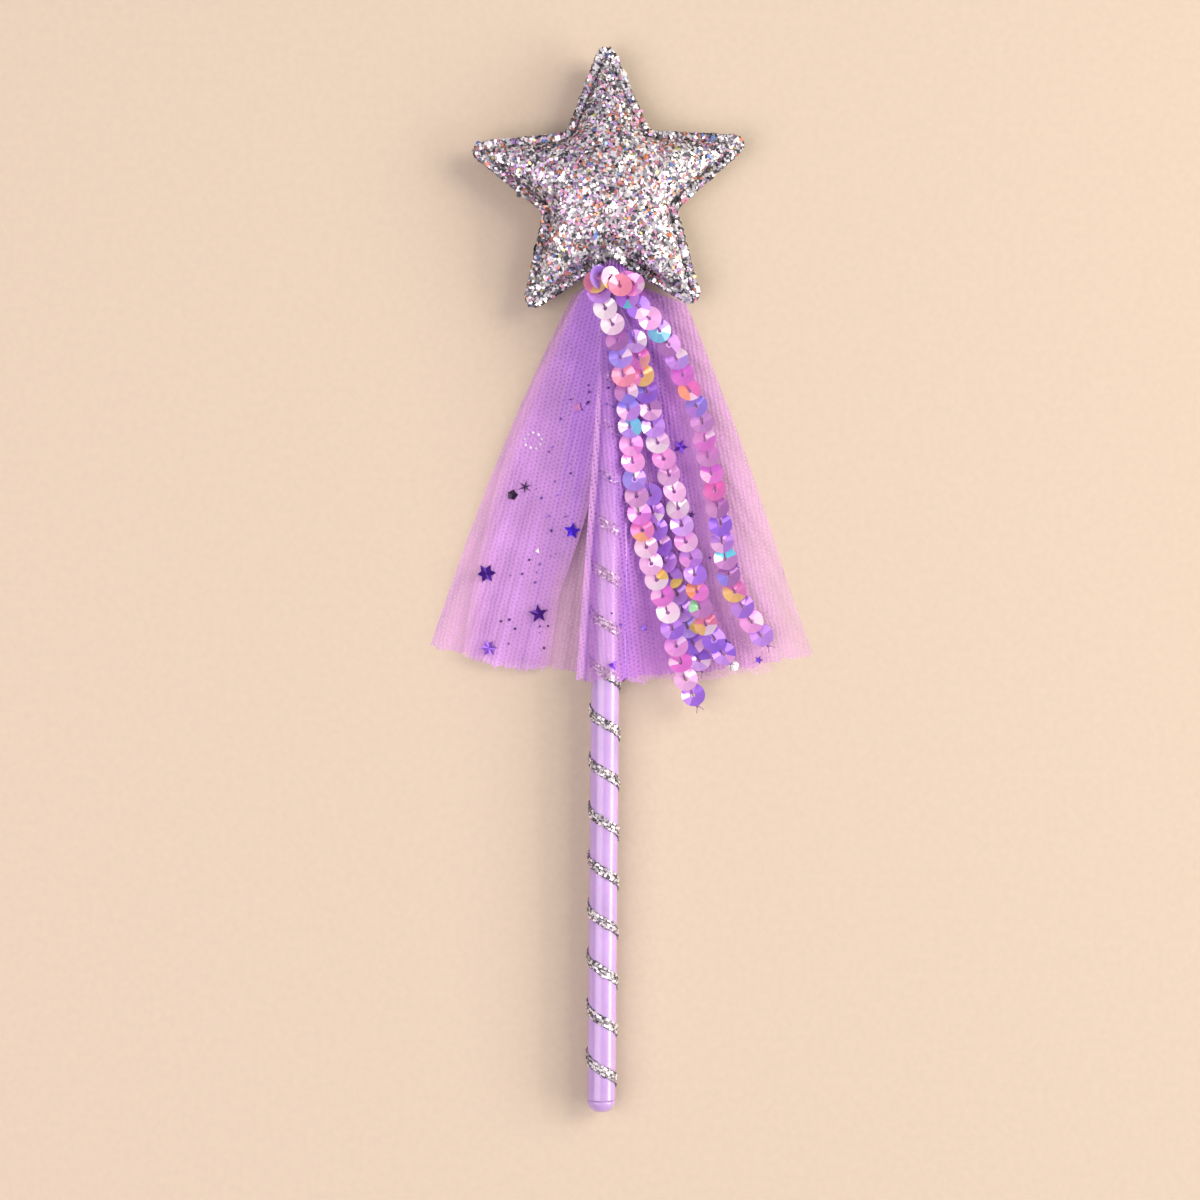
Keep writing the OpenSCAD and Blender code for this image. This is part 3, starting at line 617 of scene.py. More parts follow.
def inflate(points, triangles, held):
    """Rise of a film that even pressure pushes out of a flat outline, from 0 at its edge to 1."""
    count = len(points)
    first, second, weight = [], [], []
    load = np.zeros(count)
    for i in range(3):
        p, q, r = triangles[:, i], triangles[:, (i + 1) % 3], triangles[:, (i + 2) % 3]
        e, f = points[q] - points[p], points[r] - points[p]
        cross = np.abs(e[:, 0] * f[:, 1] - e[:, 1] * f[:, 0])
        first.append(q)
        second.append(r)
        weight.append(np.sum(e * f, axis=1) / np.maximum(cross, 1e-15) / 2)
        np.add.at(load, p, cross / 6)
    first, second, weight = np.concatenate(first), np.concatenate(second), np.concatenate(weight)
    diagonal = np.bincount(first, weight, count) + np.bincount(second, weight, count)
    free = ~held

    def stiffness(u):
        flow = weight * (u[first] - u[second])
        return np.where(free, np.bincount(first, flow, count) - np.bincount(second, flow, count), 0)

    rise = np.zeros(count)
    rest = np.where(free, load, 0)
    ease = np.where(free, 1 / np.maximum(diagonal, 1e-12), 0)
    step = ease * rest
    size = rest @ step
    for _ in range(400):
        pull = stiffness(step)
        amount = size / max(step @ pull, 1e-30)
        rise += amount * step
        rest -= amount * pull
        eased = ease * rest
        new_size = rest @ eased
        if new_size < 1e-14 * abs(load.sum()):
            break
        step = eased + step * new_size / size
        size = new_size
    return rise / rise.max()


# Rows of points, from the rim inwards, that rise over the tunnel for the stick
FRONT_ARCH_ROWS = 11
BACK_ARCH_ROWS = 9


def fan(first, count, tip):
    """Triangles from a ring of points to one point."""
    return [(first + i, first + (i + 1) % count, tip) for i in range(count)]


def rim_edge(star):
    """Insets and rises of the points round the outer edge of the welded rim."""
    thick = star.rim_thickness
    return [(0, 0), (0, 0.55 * thick), (0.1 * MM, 0.85 * thick), (0.35 * MM, thick)]


def arched(star, flat, height, count, inset=0.0):
    """Heights with the first of the points raised over the tunnel for the stick."""
    reach = star.mouth_radius + star.skin - inset
    arch = np.sqrt(np.maximum(0, reach ** 2 - flat[:, 0] ** 2)) * (flat[:, 1] < 0)
    return np.where(np.arange(len(flat)) < count, np.maximum(height, arch), height)


def star_front(star, outline, inset=0.0):
    """Points and faces of the padded front from its seam to its middle; inset draws it inwards."""
    rim, thick, n = star.rim_width, star.rim_thickness, len(outline.around)
    border = rim_edge(star)
    border += [(0.6 * rim, thick), (rim - 0.3 * MM, 0.92 * thick), (rim - 0.05 * MM, 0.62 * thick)]
    hold, level = rim + 0.2 * MM + inset, 0.75 * thick
    shares = 1 - np.linspace(0, 1, 27)[1:-1] ** 1.35
    dome = np.concatenate(
        [outline.ring(hold)] + [outline.ring(hold, share) for share in shares] + [np.zeros((1, 2))])
    quads = grid_faces(len(shares) + 1, n, around=True)
    triangles = [t for f in quads for t in ((f[0], f[1], f[2]), (f[0], f[2], f[3]))]
    triangles += fan(len(shares) * n, n, len(dome) - 1)
    swell = inflate(dome / MM, np.array(triangles), np.arange(len(dome)) < n)
    dome_height = level + (star.front_height - level - inset) * swell ** 0.43
    flat = np.concatenate([outline.ring(drawn + inset) for drawn, _ in border] + [dome])
    height = np.concatenate([np.full(n, rise) for _, rise in border] + [dome_height])
    height = arched(star, flat, height, FRONT_ARCH_ROWS * n, inset)
    points = np.column_stack([flat, star.seam_height + height])
    rows = len(border) + 1 + len(shares)
    return points, grid_faces(rows, n, around=True) + fan((rows - 1) * n, n, len(points) - 1)


def star_back(star, outline):
    """Points and faces of the back, round at its sides and flat where it lies on the floor."""
    rim, thick, deep = star.rim_width, star.rim_thickness, star.seam_height
    wall, flat, step = rim + 0.9 * MM, 6.2 * MM, 2 * MM
    n = len(outline.around)
    profile = rim_edge(star) + [(rim - 0.2 * MM, thick), (rim + 0.2 * MM, 1.3 * thick)]
    for turn in np.linspace(0.15, 1, 8) * math.pi / 2:
        drawn = wall + (flat - wall) * (1 - math.cos(turn))
        profile.append((drawn, step + (deep - step) * math.sin(turn)))
    rings = [(outline.ring(drawn), rise) for drawn, rise in profile]
    rings += [(outline.ring(flat, share), deep) for share in (0.85, 0.6, 0.3)]
    xy = np.concatenate([ring for ring, _ in rings] + [np.zeros((1, 2))])
    height = np.concatenate([np.full(n, rise) for _, rise in rings] + [[deep]])
    points = np.column_stack([xy, deep - arched(star, xy, height, BACK_ARCH_ROWS * n)])
    faces = [f[::-1] for f in grid_faces(len(rings), n, around=True)]
    faces += [(b, a, tip) for a, b, tip in fan((len(rings) - 1) * n, n, len(points) - 1)]
    return points, faces


# Tints of the glitter flakes and how common each one is
FLAKE_TINTS = [
    ("#FDFCFF", 0.4), ("#DADBE2", 0.16), ("#A0A2AB", 0.11), ("#55575F", 0.16), ("#EDA6CC", 0.075),
    ("#E2906C", 0.055), ("#BE9EDE", 0.06), ("#6C90DC", 0.015), ("#DCD584", 0.012), ("#2A2A38", 0.02),
]
# Places of three of them in the list
PINK, CORAL, LILAC = 4, 5, 6
# For each side of the star: tries at placing a flake, how high flakes lie and their most tilt in radians
FLAKES = {"front": (42000, 0.12 * MM, 0.42), "back": (18000, 0.08 * MM, 0.15)}
# Lowest place of a flake's corner
FLAKE_FLOOR = -0.15 * MM
# How far inside the front the wadding lies
WADDING_INSET = 3.4 * MM


def glow(places, x, y, reach):
    """1 at a place on the star, given in millimetres, and less away from it."""
    return np.exp(-((places[:, 0] - x * MM) ** 2 + (places[:, 1] - y * MM) ** 2) / (reach * MM) ** 2)


def flake_tints(rng, places, normals):
    """A tint for each flake: silver mostly, warmer in the middle, pinker on the left, with painted shade on
    the side walls, where flakes face sideways, and on the arch over the stick."""
    tints = np.array([linear(code) for code, _ in FLAKE_TINTS])
    weights = np.tile([w for _, w in FLAKE_TINTS], (len(places), 1))
    warm, rosy, painted_arch_shade = glow(places, 5, 4, 14), glow(places, -14, 0, 16), glow(places, 0, -19.5, 4.5)
    weights[:, CORAL] *= 1 + 2.2 * warm
    weights[:, PINK] *= 1 + 1.2 * rosy + 0.8 * warm
    weights[:, LILAC] *= 1 + 1.2 * rosy
    total = np.cumsum(weights / weights.sum(axis=1, keepdims=True), axis=1)
    pick = np.minimum((rng.random((len(places), 1)) > total).sum(axis=1), len(tints) - 1)
    bright = 0.72 + 0.4 * rng.random((len(places), 1))
    # Painted shade: flakes that face sideways and flakes on the arch over the stick are darkened
    painted_side_shade = 0.4 + 0.6 * smooth(0.05, 0.5, np.abs(normals[:, 2:]))
    shade = bright * painted_side_shade * (1 - 0.5 * painted_arch_shade[:, None])
    return np.concatenate([np.clip(tints[pick][:, :3] * shade, 0, 1), np.ones((len(places), 1))], axis=1)


def build_star(scene):
    """The padded star: front and back of grey film, their glitter flakes and the wadding inside."""
    star = scene.wand_star
    outline = StarOutline(star)
    film, flake = grey_vinyl_film(star), silver_flake_film()
    rng = np.random.default_rng(SEEDS["star"])
    for side, shape in (("front", star_front), ("back", star_back)):
        tries, lift, tilt = FLAKES[side]
        points, faces = shape(star, outline)
        panel = make_piece(f"star_{side}_film", points, faces, film)
        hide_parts(f"star_{side}_panel")
        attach(panel, "wand")
        places, normals = scatter(rng, points, faces, tries, star.flake_spacing)
        count = len(places)
        sizes = star.flake_size * (0.6 + 0.4 * rng.random(count) + 1.1 * (rng.random(count) < 0.012))
        corners, flakes = flake_polygons(rng, places, normals, sizes, lift, tilt)
        corners = np.maximum(corners, [-1, -1, FLAKE_FLOOR])
        tints = flake_tints(rng, places, normals)
        glitter = make_piece(f"star_{side}_glitter", corners, flakes, flake, False, tints)
        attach(glitter, "wand")
    points, _ = star_front(star, outline, inset=WADDING_INSET)
    rows = points[:-1].reshape(-1, len(outline.around), 3)[7::3, ::2]
    rows[..., 2] = star.seam_height + 1.25 * (rows[..., 2] - star.seam_height)
    rows[..., 2] += 0.2 * MM * np.sin(rows[..., 0] * 900) * np.cos(rows[..., 1] * 760)
    low = rows[:1].copy()
    low[..., 2] = star.seam_height - 2.5 * MM
    rows = np.concatenate([low, rows])
    count = rows.shape[1]
    points = np.concatenate([rows.reshape(-1, 3), [[0, 0, low[0, 0, 2]]], [rows[-1].mean(axis=0)]])
    foot, crown = len(points) - 2, len(points) - 1
    faces = grid_faces(len(rows), count, around=True)
    faces += [(b, a, tip) for a, b, tip in fan(0, count, foot)]
    faces += fan(foot - count, count, crown)
    fibre = soft_filler("polyester_wadding", "#EFEFEC", 420.0, 0.95, 0.6)
    wadding = make_piece("star_wadding", points, faces, fibre)
    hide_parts("star_padding")
    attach(wadding, "wand")
    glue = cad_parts["glue_bead"]
    glue.data.materials.clear()
    glue.data.materials.append(soft_filler("set_hot_glue", "#DDD6C6", 300.0, 0.3, 0.0))


# Steps of the braid in one turn, and its section: place across its half width, share of its thickness
STEPS_PER_TURN = 44
BRAID_SECTION = [
    (-1, 0.02), (-1, 0.5), (-0.7, 0.95), (-0.35, 0.7), (0, 1.0),
    (0.35, 0.7), (0.7, 0.95), (1, 0.5), (1, 0.02),
]
# Rows of cut strips across the braid, strips in a row, and their tints with how common each one is
STRIP_ROWS = (-0.66, 0, 0.66)
STRIPS_PER_ROW = 530
STRIP_TINTS = [
    ("#FBF9FC", 0.42), ("#DAD6DC", 0.26), ("#A6A1A8", 0.16), ("#5B565C", 0.1), ("#C9B8D6", 0.06),
]


def build_ribbon(scene):
    """Flat silver braid wound down the stick, with cut metallised strips standing out of it."""
    ribbon, stick = scene.wand_ribbon, scene.wand_stick
    rng = np.random.default_rng(SEEDS["ribbon"])
    half = ribbon.width / 2 / math.cos(math.atan(ribbon.pitch / (TAU * stick.tube_radius)))
    start, end = ribbon.start + half, ribbon.end - half
    steps = int((end - start) / ribbon.pitch * STEPS_PER_TURN)
    down = start + np.arange(steps + 1) * ribbon.pitch / STEPS_PER_TURN
    around = TAU * (down - ribbon.front_at) / ribbon.pitch
    ragged = 1 + 0.12 * rng.standard_normal((steps + 1, 2)).clip(-1.5, 1.5)
    columns = []
    for across, rise in BRAID_SECTION:
        spread = half * across * (ragged[:, 0] if across < 0 else ragged[:, 1])
        weave = 1 + 0.25 * np.sin(around * 16 + across * 5)
        r = ribbon.inner_radius + ribbon.thickness * rise * (0.75 * weave if rise > 0.6 else 0.8)
        columns.append(on_stick(stick, r * np.sin(around), r * np.cos(around), down + spread))
    points = np.stack(columns, axis=1).reshape(-1, 3)
    faces = [f[::-1] for f in grid_faces(steps + 1, len(BRAID_SECTION))]
    braid = make_piece("glitter_ribbon_braid", points, faces, lurex_braid(ribbon))
    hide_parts("glitter_ribbon")
    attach(braid, "wand")
    rows = np.repeat(STRIP_ROWS, STRIPS_PER_ROW)
    count = len(rows)
    number = np.tile(np.arange(STRIPS_PER_ROW), len(STRIP_ROWS)) + 0.3 * rng.standard_normal(count)
    at = 1 + (steps - 2) * number.clip(0, STRIPS_PER_ROW - 1) / STRIPS_PER_ROW
    place = start + at * ribbon.pitch / STEPS_PER_TURN
    angle = TAU * (place - ribbon.front_at) / ribbon.pitch
    sine, cosine = np.sin(angle), np.cos(angle)
    across = rows + 0.1 * rng.standard_normal(count)
    radius = ribbon.inner_radius + ribbon.thickness * (0.85 + 0.2 * rng.random(count))
    origin = on_stick(stick, 0.0, 0.0, 0.0)
    spots = on_stick(stick, radius * sine, radius * cosine, place + across * half * 0.96)
    normals = on_stick(stick, sine, cosine, np.zeros(count)) - origin
    rise = np.full(count, ribbon.pitch / 2 / math.pi)
    run = on_stick(stick, radius * cosine, -radius * sine, rise) - origin
    run /= np.linalg.norm(run, axis=1, keepdims=True)
    side = np.cross(normals, run)
    slant = 0.12 * np.sign(rows) + 0.16 * rng.standard_normal(count)
    way = run * np.cos(slant)[:, None] + side * np.sin(slant)[:, None]
    over = np.cross(normals, way)
    reach = (0.34 + 0.2 * rng.random(count))[:, None] * MM
    wide = (0.22 + 0.12 * rng.random(count))[:, None] * MM
    nose = (rng.random(count) * 0.5 - 0.15)[:, None]
    roll = (rng.random(count) - 0.5)[:, None] * 1.2
    corner = [spots + way * reach * a + over * wide * b + normals * (reach * nose * a * 0.4 + wide * roll * b)
              for a, b in ((-1, -1), (1, -1), (1, 1), (-1, 1))]
    strips = np.stack(corner, axis=1).reshape(-1, 3)
    faces = [tuple(range(4 * i, 4 * i + 4)) for i in range(count)]
    greys = np.array([linear(code) for code, _ in STRIP_TINTS])
    tints = greys[rng.choice(len(greys), count, p=[share for _, share in STRIP_TINTS])]
    tinsel = make_piece(
        "glitter_ribbon_tinsel", strips, faces, silver_flake_film(), False, tints)
    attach(tinsel, "wand")


# Corners of each panel as shares of the skirt's length from the middle of its top: two at the neck,
# two at the hem, whether its top lies to the front or back of the stick, and the bows of its two edges
PANELS = {
    "back_left": ((-0.093, -0.004), (-0.006, 0), (-0.451, -0.91), (-0.006, -0.973), -1, -0.02, 0),
    "back_right": ((0.006, 0), (0.2, -0.02), (0.006, -0.986), (0.536, -0.928), -1, 0, 0.012),
    "front_left": ((-0.075, -0.004), (-0.018, 0), (-0.368, -0.936), (-0.145, -0.969), 1, -0.055, 0.056),
    "front_right": ((-0.01, 0), (0.136, -0.027), (-0.074, -0.991), (0.433, -0.971), 1, 0, 0.01),
}
# How thick each panel's net looks at its four corners, and how clearly its holes show there. Thick cover
#  deepens the tint, so the high cover at the necks of the right panels is partly painted shade.
COVER = {
    "back_left": (1.2, 1.05, 1.15, 0.9), "back_right": (1.8, 0.72, 1.35, 0.35),
    "front_left": (1.05, 1.25, 0.8, 0.95), "front_right": (1.85, 0.75, 1.15, 0.45),
}
CLEAR = {
    "back_left": (0.5, 0.8, 0.4, 0.5), "back_right": (0.8, 0.6, 0.7, 0.6),
    "front_left": (0.9, 1.0, 0.3, 0.6), "front_right": (0.9, 0.7, 0.65, 0.6),
}
# Cover at which the tint turns pale: a painted highlight along a folded edge
FOLD_HIGHLIGHT_COVER = 2.4
# Gap of the skirt over the floor, and between soft pieces laid on each other
FLOOR_GAP = 0.15 * MM
SOFT_GAP = 0.3 * MM
# Pleats in a full turn of a back and of a front layer
BACK_PLEATS = 45
FRONT_PLEATS = 60
# Squares of a panel's mesh across it, down it and in its bunched top
PANEL_ACROSS, PANEL_DOWN, PANEL_NECK = 64, 84, 6


class SkirtShape:
    """Heights of the skirt's two layers over the floor, as the frame has them, with finer folds."""

    def __init__(self, skirt, stick, ribbon):
        self.skirt, self.stick = skirt, stick
        self.wound = ribbon.inner_radius + ribbon.thickness
        self.top_at = skirt.gather_at + skirt.gather_length + SOFT_GAP

    def axis(self, y):
        """Height of the stick's axis."""
        return self.stick.axis_height + y * math.tan(self.stick.lean)

    def folds(self, x, y, pleats, start):
        """Pleats that radiate from the neck and deepen towards the hem."""
        angle = np.arctan2(x, -self.skirt.gather_at - y)
        share = np.minimum(1, np.hypot(x, y + self.skirt.gather_at) / self.skirt.skirt_length)
        fine = 0.16 * np.cos(pleats * 2.7 * angle + 1.3) + 0.1 * np.cos(pleats * 4.1 * angle)
        return ((1 + np.cos(pleats * (angle - math.radians(start)))) / 2 + fine) * share

    def height(self, x, y, front):
        """Height of a layer's middle surface."""
        clear = smooth(self.stick.tube_radius, 1.3 * 2 * self.stick.tube_radius, np.abs(x))
        back = FLOOR_GAP + self.skirt.tulle / 2
        if front < 0:
            return back + self.skirt.back_fold * np.maximum(0, self.folds(x, y, BACK_PLEATS, 0)) * clear
        low = FLOOR_GAP + self.skirt.tulle + self.skirt.back_fold + SOFT_GAP
        crest = self.axis(y) + self.wound + 2 * SOFT_GAP
        hump = (crest - low) * np.exp(-0.9 * (x / (2 * self.stick.tube_radius)) ** 2)
        fold = self.skirt.front_fold * np.maximum(0, self.folds(x, y, FRONT_PLEATS, 1)) * clear
        return low + self.skirt.tulle / 2 + hump + fold


def mix(a, b, share):
    """A value between two others."""
    return a + (b - a) * share


def corner_mix(corners, u, fall):
    """A value at each point of a panel from the values at its four corners."""
    return mix(mix(corners[0], corners[1], u), mix(corners[2], corners[3], u), fall)


def net_cover(name, u, fall, x, y, z):
    """How thick a panel's net looks at each point: more on a steep fold, less along a loose edge, with
    painted shade between the strands and painted highlights along the folds beside the stick.
    """
    steep = np.abs(np.gradient(z, axis=1) / np.maximum(np.abs(np.gradient(x, axis=1)), 1e-6))
    cover = corner_mix(COVER[name], u, fall) * (1 + 0.4 * smooth(0.15, 0.8, steep))
    if name == "front_left":
        cover = cover * (0.4 + 0.6 * smooth(0, 0.16, u)) * (0.5 + 0.5 * smooth(1, 0.82, u))
    if name == "front_right":
        # Painted shade between the strands: a band of extra cover that deepens the tint
        valley = np.exp(-((x - 11 * MM + 0.22 * (y + 43 * MM)) / (7 * MM)) ** 2)
        valley = valley * smooth(-36 * MM, -46 * MM, y) * smooth(-120 * MM, -80 * MM, y)
        cover = np.minimum(2, cover + 0.6 * valley)
        over_stick = np.exp(-(x / (4.5 * MM)) ** 2) * smooth(0.45, 0.75, fall)
        cover = cover * (1 - 0.45 * over_stick)
        # Painted highlights along the two folds beside the stick: cover drawn towards the pale fold value
        line = np.exp(-((x - 5.6 * MM) / (0.7 * MM)) ** 2) * smooth(0.3, 0.5, fall)
        edge = smooth(0.075, 0.02, u) * smooth(0.1, 0.4, fall)
        cover = cover + (FOLD_HIGHLIGHT_COVER - cover) * np.maximum(edge, 0.8 * line)
    return cover


def build_skirt(scene):
    """Four gathered panels of net, the bunched tulle round the stick and the band that holds it."""
    skirt, stick = scene.wand_skirt, scene.wand_stick
    shape = SkirtShape(skirt, stick, scene.wand_ribbon)
    dense = nylon_tulle("nylon_tulle_dense", skirt.dense, skirt.mesh_pitch, 0.32, 0.74)
    # The back right layer takes the deeper copy: partly painted shade under the strands
    mauve = nylon_tulle("nylon_tulle_mauve_painted_shade", skirt.shaded, skirt.mesh_pitch, 0.3, 0.68)
    sheer = nylon_tulle("nylon_tulle_sheer", skirt.sheer, skirt.mesh_pitch, 0.08, 0.4)
    nets = {"back_left": sheer, "back_right": mauve, "front_left": dense, "front_right": sheer}
    rng = np.random.default_rng(SEEDS["skirt"])
    reach = skirt.skirt_length
    for name, (top_a, top_b, hem_a, hem_b, front, bow_a, bow_b) in PANELS.items():
        u = np.linspace(0, 1, PANEL_ACROSS + 1)[None, :]
        v = np.linspace(0, 1, PANEL_DOWN + 1)[:, None]
        top = [mix(top_a[k], top_b[k], u) for k in (0, 1)]
        hem = [mix(hem_a[k], hem_b[k], u) for k in (0, 1)]
        wave = 0.003 * np.sin(u * 19 + len(name)) + 0.0015 * np.sin(u * 43 + 2 * len(name))
        fray = 0.0036 * rng.standard_normal((1, PANEL_ACROSS + 1))
        hem[1] = hem[1] - 0.048 * u * (1 - u) + wave * np.sin(math.pi * u) ** 0.5 + fray
        bow = bow_a * (1 - u) * np.sin(math.pi * v ** 0.9)
        bow = bow + bow_b * u * np.sin(math.pi * np.minimum(1, v / 0.8))
        x = reach * (mix(top[0], hem[0], v) + bow)
        y = reach * mix(top[1], hem[1], v) - shape.top_at
        z = shape.height(x, y, front)
        if name == "front_left":
            z = z - 0.45 * MM * smooth(0.5, 0.9, u)
        w = np.linspace(1, 0, PANEL_NECK + 1)[:-1, None]
        round_r = skirt.gather_radius + (0.1 if front > 0 else -0.6) * MM
        neck_x = np.clip(x[0] * 0.42, -0.85 * round_r, 0.85 * round_r)[None, :]
        neck_y = -skirt.gather_at - 1.2 * MM
        neck_z = shape.axis(neck_y) + front * np.sqrt(round_r ** 2 - neck_x ** 2)
        x = np.concatenate([mix(x[:1], neck_x, w), x])
        y = np.concatenate([mix(y[:1], neck_y, w), y])
        z = np.concatenate([mix(z[:1], neck_z, w * w * (3 - 2 * w)), z])
        points = np.stack([x, y, z], axis=-1).reshape(-1, 3)
        faces = grid_faces(PANEL_DOWN + PANEL_NECK + 1, PANEL_ACROSS + 1)
        panel = make_piece(f"tulle_{name}_net", points, faces, nets[name])
        heading = math.atan2(
            hem_a[0] + hem_b[0] - top_a[0] - top_b[0], top_a[1] + top_b[1] - hem_a[1] - hem_b[1])
        across_way = x * math.cos(heading) + y * math.sin(heading)
        down_way = x * math.sin(heading) - y * math.cos(heading)
        cloth = np.stack([across_way, down_way], axis=-1) / MM
        fall = np.concatenate([np.zeros((PANEL_NECK, 1)), v])
        cover, clear = net_cover(name, u, fall, x, y, z), corner_mix(CLEAR[name], u, fall)
        for label, share in (("cover", cover), ("clear", clear)):
            layer = panel.data.attributes.new(label, "FLOAT", "POINT")
            layer.data.foreach_set("value", share.astype(np.float32).ravel())
        layer = panel.data.uv_layers.new(name="cloth")
        corners = np.array([loop.vertex_index for loop in panel.data.loops])
        layer.data.foreach_set("uv", cloth.reshape(-1, 2)[corners].astype(np.float32).ravel())
        panel.data.flip_normals()
        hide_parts(f"tulle_{name}")
        if front > 0:
            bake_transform(panel)
        else:
            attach(panel, "wand")
            panel.visible_shadow = False
    build_gather(skirt, stick)


def build_gather(skirt, stick):
    """The bunched tops of the panels round the stick, and the elastic band over them."""
    pleats, rows = 26, 10
    turn = np.linspace(0, TAU, pleats * 6, endpoint=False)
    rings = []
    for share in np.linspace(0, 1, rows):
        pinch = 1 - 0.1 * math.exp(-((share - 0.5) / 0.22) ** 2)
        ruck = 0.5 * MM * np.cos(pleats * turn + 1.5 * np.sin(3 * turn)) * (0.5 + abs(share - 0.5))
        r = (skirt.gather_radius - 0.25 * MM) * pinch + ruck - 0.2 * MM - 0.7 * MM * smooth(0.35, 0, share)
        down = skirt.gather_at - 4.2 * MM + (skirt.gather_length + 5 * MM) * share
        rings.append(on_stick(stick, r * np.sin(turn), r * np.cos(turn), down))
    # Dark purple: deeper colour of many layers, partly painted shade under the star's arch
    gather = make_piece(
        "tulle_gather_pleats", np.concatenate(rings), grid_faces(rows, len(turn), around=True),
        soft_filler("bunched_nylon_tulle_painted_shade", "#8A50B4", 900.0, 0.6, 0.3))
    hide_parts("tulle_gather")
    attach(gather, "wand")
    band_at, band_r = skirt.gather_at + skirt.gather_length / 2, skirt.gather_radius + 0.36 * MM
    section = [(band_r + 0.28 * MM * math.cos(a), band_at + 1.2 * MM * math.sin(a))
               for a in np.linspace(0, TAU, 10)]
    points, faces = lathe(stick, section, 72)
    elastic = soft_filler("covered_elastic", "#C79AD8", 1500.0, 0.7, 0.4)
    band = make_piece("neck_band_elastic", points, faces, elastic)
    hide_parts("neck_band")
    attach(band, "wand")


# Confetti: place as shares of the skirt's length, size in millimetres, turn in degrees, number of
# spikes, depth of the notches between them (0 for a ring of dots) and tint. The plain white pieces and
# the pale pink one near the neck are painted glints.
CONFETTI = {
    "left": [
        (-0.088, -0.613, 4.8, 8, 5, 0.5, "#4A1FE0"), (-0.308, -0.724, 5.6, 25, 6, 0.55, "#3F0A86"),
        (-0.173, -0.826, 5.6, -6, 5, 0.42, "#43087E"), (-0.3, -0.915, 4.9, 30, 6, 0.55, "#8A5BD0"),
        (-0.243, -0.521, 3.2, 15, 5, 0.75, "#2A1238"), (-0.21, -0.5, 4.4, 10, 6, 0.2, "#3A2150"),
        # The pale pink piece next and the small white one after the ring of dots are painted glints
        (-0.078, -0.296, 2.9, 30, 4, 0.6, "#F6A4F2"), (-0.19, -0.38, 4.6, 0, 9, 0, "#F6EEF8"),
        (-0.177, -0.664, 1.8, 20, 3, 0.4, "#FBF4FC"),
    ],
    "right": [
        (0.189, -0.393, 4.6, 20, 5, 0.45, "#5A22A8"), (0.124, -0.29, 3.4, 40, 3, 0.3, "#4A1FC8"),
        # The white piece first in this row is a painted glint
        (0.33, -0.955, 3, 12, 6, 0.9, "#FFFFFF"), (0.31, -0.9, 3.4, 5, 6, 0.5, "#6A38C4"),
        (0.31, -0.614, 2, 12, 4, 0.5, "#6A48C8"), (0.333, -0.7, 2.6, 30, 5, 0.4, "#7B58DC"),
        (0.348, -0.764, 2.2, 5, 4, 0.5, "#5A34B8"), (0.395, -0.94, 2.6, 18, 5, 0.5, "#7A48D0"),
        (0.099, -0.86, 2.4, 25, 6, 0.5, "#8A5BD0"), (0.219, -0.567, 2.4, 8, 5, 0.4, "#4A2470"),
        (0.021, -0.955, 3.2, 35, 3, 0.5, "#5A22A8"),
    ],
}
# Specks on each panel and their tints
SPECKS = {"left": 34, "right": 26}
SPECK_TINTS = ("#4A2A86", "#6E4AB0", "#3A1F5C")
# How far foil lies over the middle of the net: a star, a dot of a ring and a speck
STAR_LIFT, DOT_LIFT, SPECK_LIFT = 0.45 * MM, 0.4 * MM, 0.3 * MM


def build_confetti(scene):
    """Small punched foil stars and specks stuck on the two front panels."""
    skirt = scene.wand_skirt
    shape = SkirtShape(skirt, scene.wand_stick, scene.wand_ribbon)
    foil = violet_foil()
    rng = np.random.default_rng(SEEDS["confetti"])
    for side, stars in CONFETTI.items():
        points, faces, tints = [], [], []

        def patch(x, y, outline, code, lift):
            """One flat piece of foil laid over the net's folds."""
            start = len(points)
            xs, ys = x + outline[:, 0], y + outline[:, 1]
            for px, py in [(x, y)] + list(zip(xs, ys)):
                points.append((px, py, float(shape.height(np.float64(px), np.float64(py), 1)) + lift))
            count = len(outline)
            for i in range(count):
                faces.append((start, start + 1 + i, start + 1 + (i + 1) % count))
                tints.append(linear(code))

        for sx, sy, size, turn, spikes, notch, code in stars:
            x, y = sx * skirt.skirt_length, sy * skirt.skirt_length - shape.top_at
            angle = np.arange(2 * spikes) * math.pi / spikes + math.radians(turn)
            r = np.where(np.arange(2 * spikes) % 2 == 0, 1, notch) * size / 2 * MM
            r = r * (0.92 + 0.16 * rng.random(2 * spikes))
            outline = np.stack([r * np.sin(angle), r * np.cos(angle)], axis=1)
            if notch:
                patch(x, y, outline, code, STAR_LIFT)
            for spot in outline[::2] if not notch else ():
                patch(x + spot[0], y + spot[1], 0.16 * outline[::2], code, DOT_LIFT)
        hem_a, hem_b = PANELS[f"front_{side}"][2:4]
        for _ in range(SPECKS[side]):
            v = 0.25 + 0.72 * rng.random()
            share = 0.08 + 0.84 * rng.random()
            sx, sy = mix(hem_a[0], hem_b[0], share) * v, mix(hem_a[1], hem_b[1], share) * v
            r = (0.2 + 0.25 * rng.random()) * MM
            angle = np.arange(5) * TAU / 5 + rng.random() * 6
            outline = np.stack([r * np.sin(angle), r * np.cos(angle)], axis=1)
            code = SPECK_TINTS[rng.integers(len(SPECK_TINTS))]
            x, y = sx * skirt.skirt_length, sy * skirt.skirt_length - shape.top_at
            patch(x, y, outline, code, SPECK_LIFT)
        foils = make_piece(f"confetti_{side}_foil", points, faces, foil, False, tints)
        foils.data.flip_normals()
        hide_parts(f"confetti_{side}")
        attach(foils, f"front_skirt_{side}")


